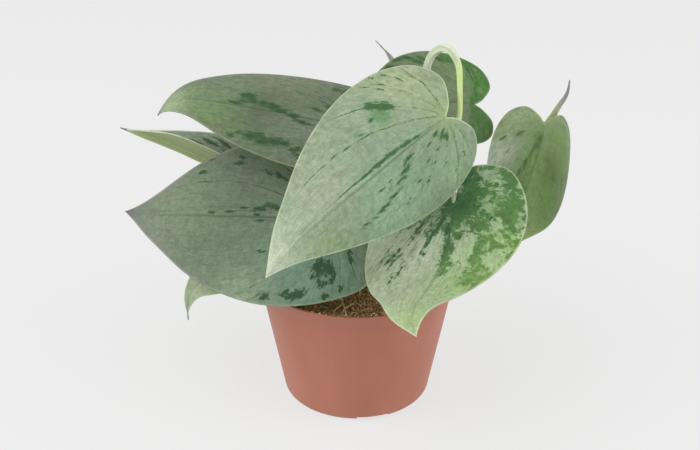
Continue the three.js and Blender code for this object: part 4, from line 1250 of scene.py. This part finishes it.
# Root: pale and firm, with mix caught on it.
def rootMaterial():
    material, tree = newMaterial("paleRoot")
    coordinates = addNode(tree, "TexCoord").outputs["Object"]
    dirt = addNode(tree, "TexNoise", {"Vector": coordinates, "Scale": 700.0, "Detail": 4.0})
    soiled = addNode(tree, "MapRange", (dirt, 0.5, 0.7, 0.0, 0.7))
    colour = overlaid(tree, "#C6AE78", [(soiled, "#7A5F38")])
    return finish(material, {"Base Color": colour, "Roughness": 0.7}, dirt, 0.4, 0.3)


# Geometry Nodes: pieces of litter strewn over a bed, chips as squashed lumps or fibres as bent threads
def litterTree(kind):
    tree = bpy.data.node_groups.new("strew" + kind, "GeometryNodeTree")
    sockets = {
        "Geometry": "Geometry", "Density": "Float", "Smallest": "Float", "Largest": "Float",
        "Size": "Float", "Flatness": "Float", "Seed": "Int", "Material": "Material",
    }
    for label, form in sockets.items():
        tree.interface.new_socket(label, in_out="INPUT", socket_type="NodeSocket" + form)
    tree.interface.new_socket("Geometry", in_out="OUTPUT", socket_type="NodeSocketGeometry")
    given = addNode(tree, "NodeGroupInput").outputs
    scatter = addNode(tree, "GeometryNodeDistributePointsOnFaces", {
        "Mesh": given["Geometry"], "Density": given["Density"], "Seed": given["Seed"]})
    if kind == "Chips":
        lump = addNode(tree, "GeometryNodeMeshIcoSphere", {"Radius": given["Size"], "Subdivisions": 1})
        lowTurn, highTurn = (0.0, 0.0, 0.0), (2 * math.pi,) * 3
    else:
        reach = addNode(tree, "CombineXYZ", {"X": given["Size"]})
        back = addNode(tree, "VectorMath", {0: reach, "Scale": -1.0}, operation="SCALE")
        hump = addNode(tree, "Math", (given["Size"], 0.55), operation="MULTIPLY")
        rise = addNode(tree, "CombineXYZ", {"Y": hump, "Z": hump})
        thread = addNode(tree, "GeometryNodeCurveQuadraticBezier", {
            "Resolution": 6, "Start": back, "Middle": rise, "End": reach})
        girth = addNode(tree, "Math", (given["Size"], 0.05), operation="MULTIPLY")
        section = addNode(tree, "GeometryNodeCurvePrimitiveCircle", {"Resolution": 3, "Radius": girth})
        lump = addNode(tree, "GeometryNodeCurveToMesh", {
            "Curve": thread, "Profile Curve": section, "Fill Caps": True})
        lowTurn, highTurn = (-0.5, -0.4, 0.0), (0.5, 0.4, 2 * math.pi)
    limits = []
    for label in ("Smallest", "Largest"):
        thick = addNode(tree, "Math", (given[label], given["Flatness"]), operation="MULTIPLY")
        limits.append(addNode(tree, "CombineXYZ", (given[label], given[label], thick)))
    spin, sizes = (addNode(tree, "FunctionNodeRandomValue", {"Min": low, "Max": high, "Seed": seed},
                           data_type="FLOAT_VECTOR")
                   for low, high, seed in ((lowTurn, highTurn, 5), (*limits, 9)))
    laid = addNode(tree, "GeometryNodeInstanceOnPoints", {
        "Points": scatter, "Instance": lump, "Rotation": spin, "Scale": sizes})
    real = addNode(tree, "GeometryNodeRealizeInstances", {"Geometry": laid})
    painted = addNode(tree, "GeometryNodeSetMaterial", {"Geometry": real, "Material": given["Material"]})
    addNode(tree, "NodeGroupOutput", {"Geometry": painted})
    return tree


def strew(name, bed, tree, values, material):
    holder = addObject(name + "Bed", bed)
    modifier = holder.modifiers.new("strew", "NODES")
    modifier.node_group = tree
    given = {**values, "Material": material}
    for item in tree.interface.items_tree:
        if item.in_out == "INPUT" and item.name in given:
            modifier[item.identifier] = given[item.name]
    mesh = settled(holder, name)
    placePiece(name, mesh, mix["node"])
    print(name, len(mesh.polygons), "faces")


# a sector of a flat or mounded ring, in mm and degrees, that litter lies on
def ringBed(inner, outer, start, stop, heightAt, rings=12, spacing=6):
    count = max(int((stop - start) / spacing), 2)
    verts = []
    for i in range(rings + 1):
        radius = inner + (outer - inner) * i / rings
        for j in range(count + 1):
            angle = math.radians(start + (stop - start) * j / count)
            x, y = radius * math.cos(angle) * mm, radius * math.sin(angle) * mm
            verts.append((x, y, heightAt(radius) * mm))
    row = count + 1
    faces = [(i * row + j, (i + 1) * row + j, (i + 1) * row + j + 1, i * row + j + 1)
             for i in range(rings) for j in range(count)]
    mesh = bpy.data.meshes.new("bed")
    mesh.from_pydata(verts, [], faces)
    return mesh


# thin pale roots that lie on the mix, the longest one forked: a path and the radius where it starts
paleRoots = [
    ([(-9, -36, 79.6), (-8.5, -41, 79.7), (-7, -48, 79.1), (-5.6, -55, 78.0)], 0.55),
    ([(-9.5, -37, 80.6), (-8.5, -43, 79.5), (-12, -49, 79.0), (-13, -52, 78.2)], 0.45),
    ([(-2, -43, 79.2), (-6, -47, 79.3), (-8, -50, 78.6)], 0.4),
    ([(24, 40, 78.8), (29, 34, 79.2), (36, 32, 78.2)], 0.5),
    ([(-40, 12, 78.2), (-34, 19, 79.2), (-26, 22, 79.4)], 0.5),
]


def makeRoots(material, steps=14, sides=8):
    verts, faces = [], []
    for path, radius in paleRoots:
        points, first, second, along = sweptFrames(path, steps, (1, 0, 0))
        radii = np.tile((radius * (1 - 0.5 * along / along[-1]))[:, None], (1, sides))
        rootVerts, rootFaces = sweptTube(points, first, second, radii)
        faces += [tuple(k + len(verts) for k in face) for face in rootFaces]
        verts += rootVerts.tolist()
    placePiece("paleRoots", newMesh("paleRoots", verts, faces, material), mix["node"])


makeMix(peatMaterial())
makeRoots(rootMaterial())
mixEdge = innerRadius(mix["top"]) - mix["gap"] - mix["edgeGap"]
chipTree, fibreTree = litterTree("Chips"), litterTree("Fibres")
bark = litterMaterial("chippedBark", "#6B4A2C", "#B68A50", "#F0CF90")
coir = litterMaterial("coirFibre", "#9C7745", "#D0AA6A", "#F4DCA4")
# density is per square metre, and smallest and largest are shares of the size
litter = {
    "barkChips": {
        "Density": 36000.0, "Smallest": 0.5, "Largest": 1.5, "Flatness": 0.4, "Size": 1.3 * mm, "Seed": 3},
    "peatCrumbs": {
        "Density": 240000.0, "Smallest": 0.5, "Largest": 1.4, "Flatness": 0.8, "Size": 0.6 * mm, "Seed": 11},
    "coirFibres": {
        "Density": 90000.0, "Smallest": 0.5, "Largest": 1.5, "Flatness": 1.0, "Size": 2.6 * mm, "Seed": 21},
    "rimCrumbs": {
        "Density": 500000.0, "Smallest": 0.6, "Largest": 1.6, "Flatness": 0.7, "Size": 0.4 * mm, "Seed": 8},
}
for name, values in litter.items():
    if name == "rimCrumbs":
        bed = ringBed(pot["rim"] - 1.3, pot["rim"] - 0.5, -122, -98, lambda radius: pot["height"])
    else:
        bed = ringBed(0.5, mixEdge, 0, 360, lambda radius: mixTopHeight(radius, mixEdge) + mix["bedLift"])
    fibres = name == "coirFibres"
    strew(name, bed, fibreTree if fibres else chipTree, values, coir if fibres else bark)
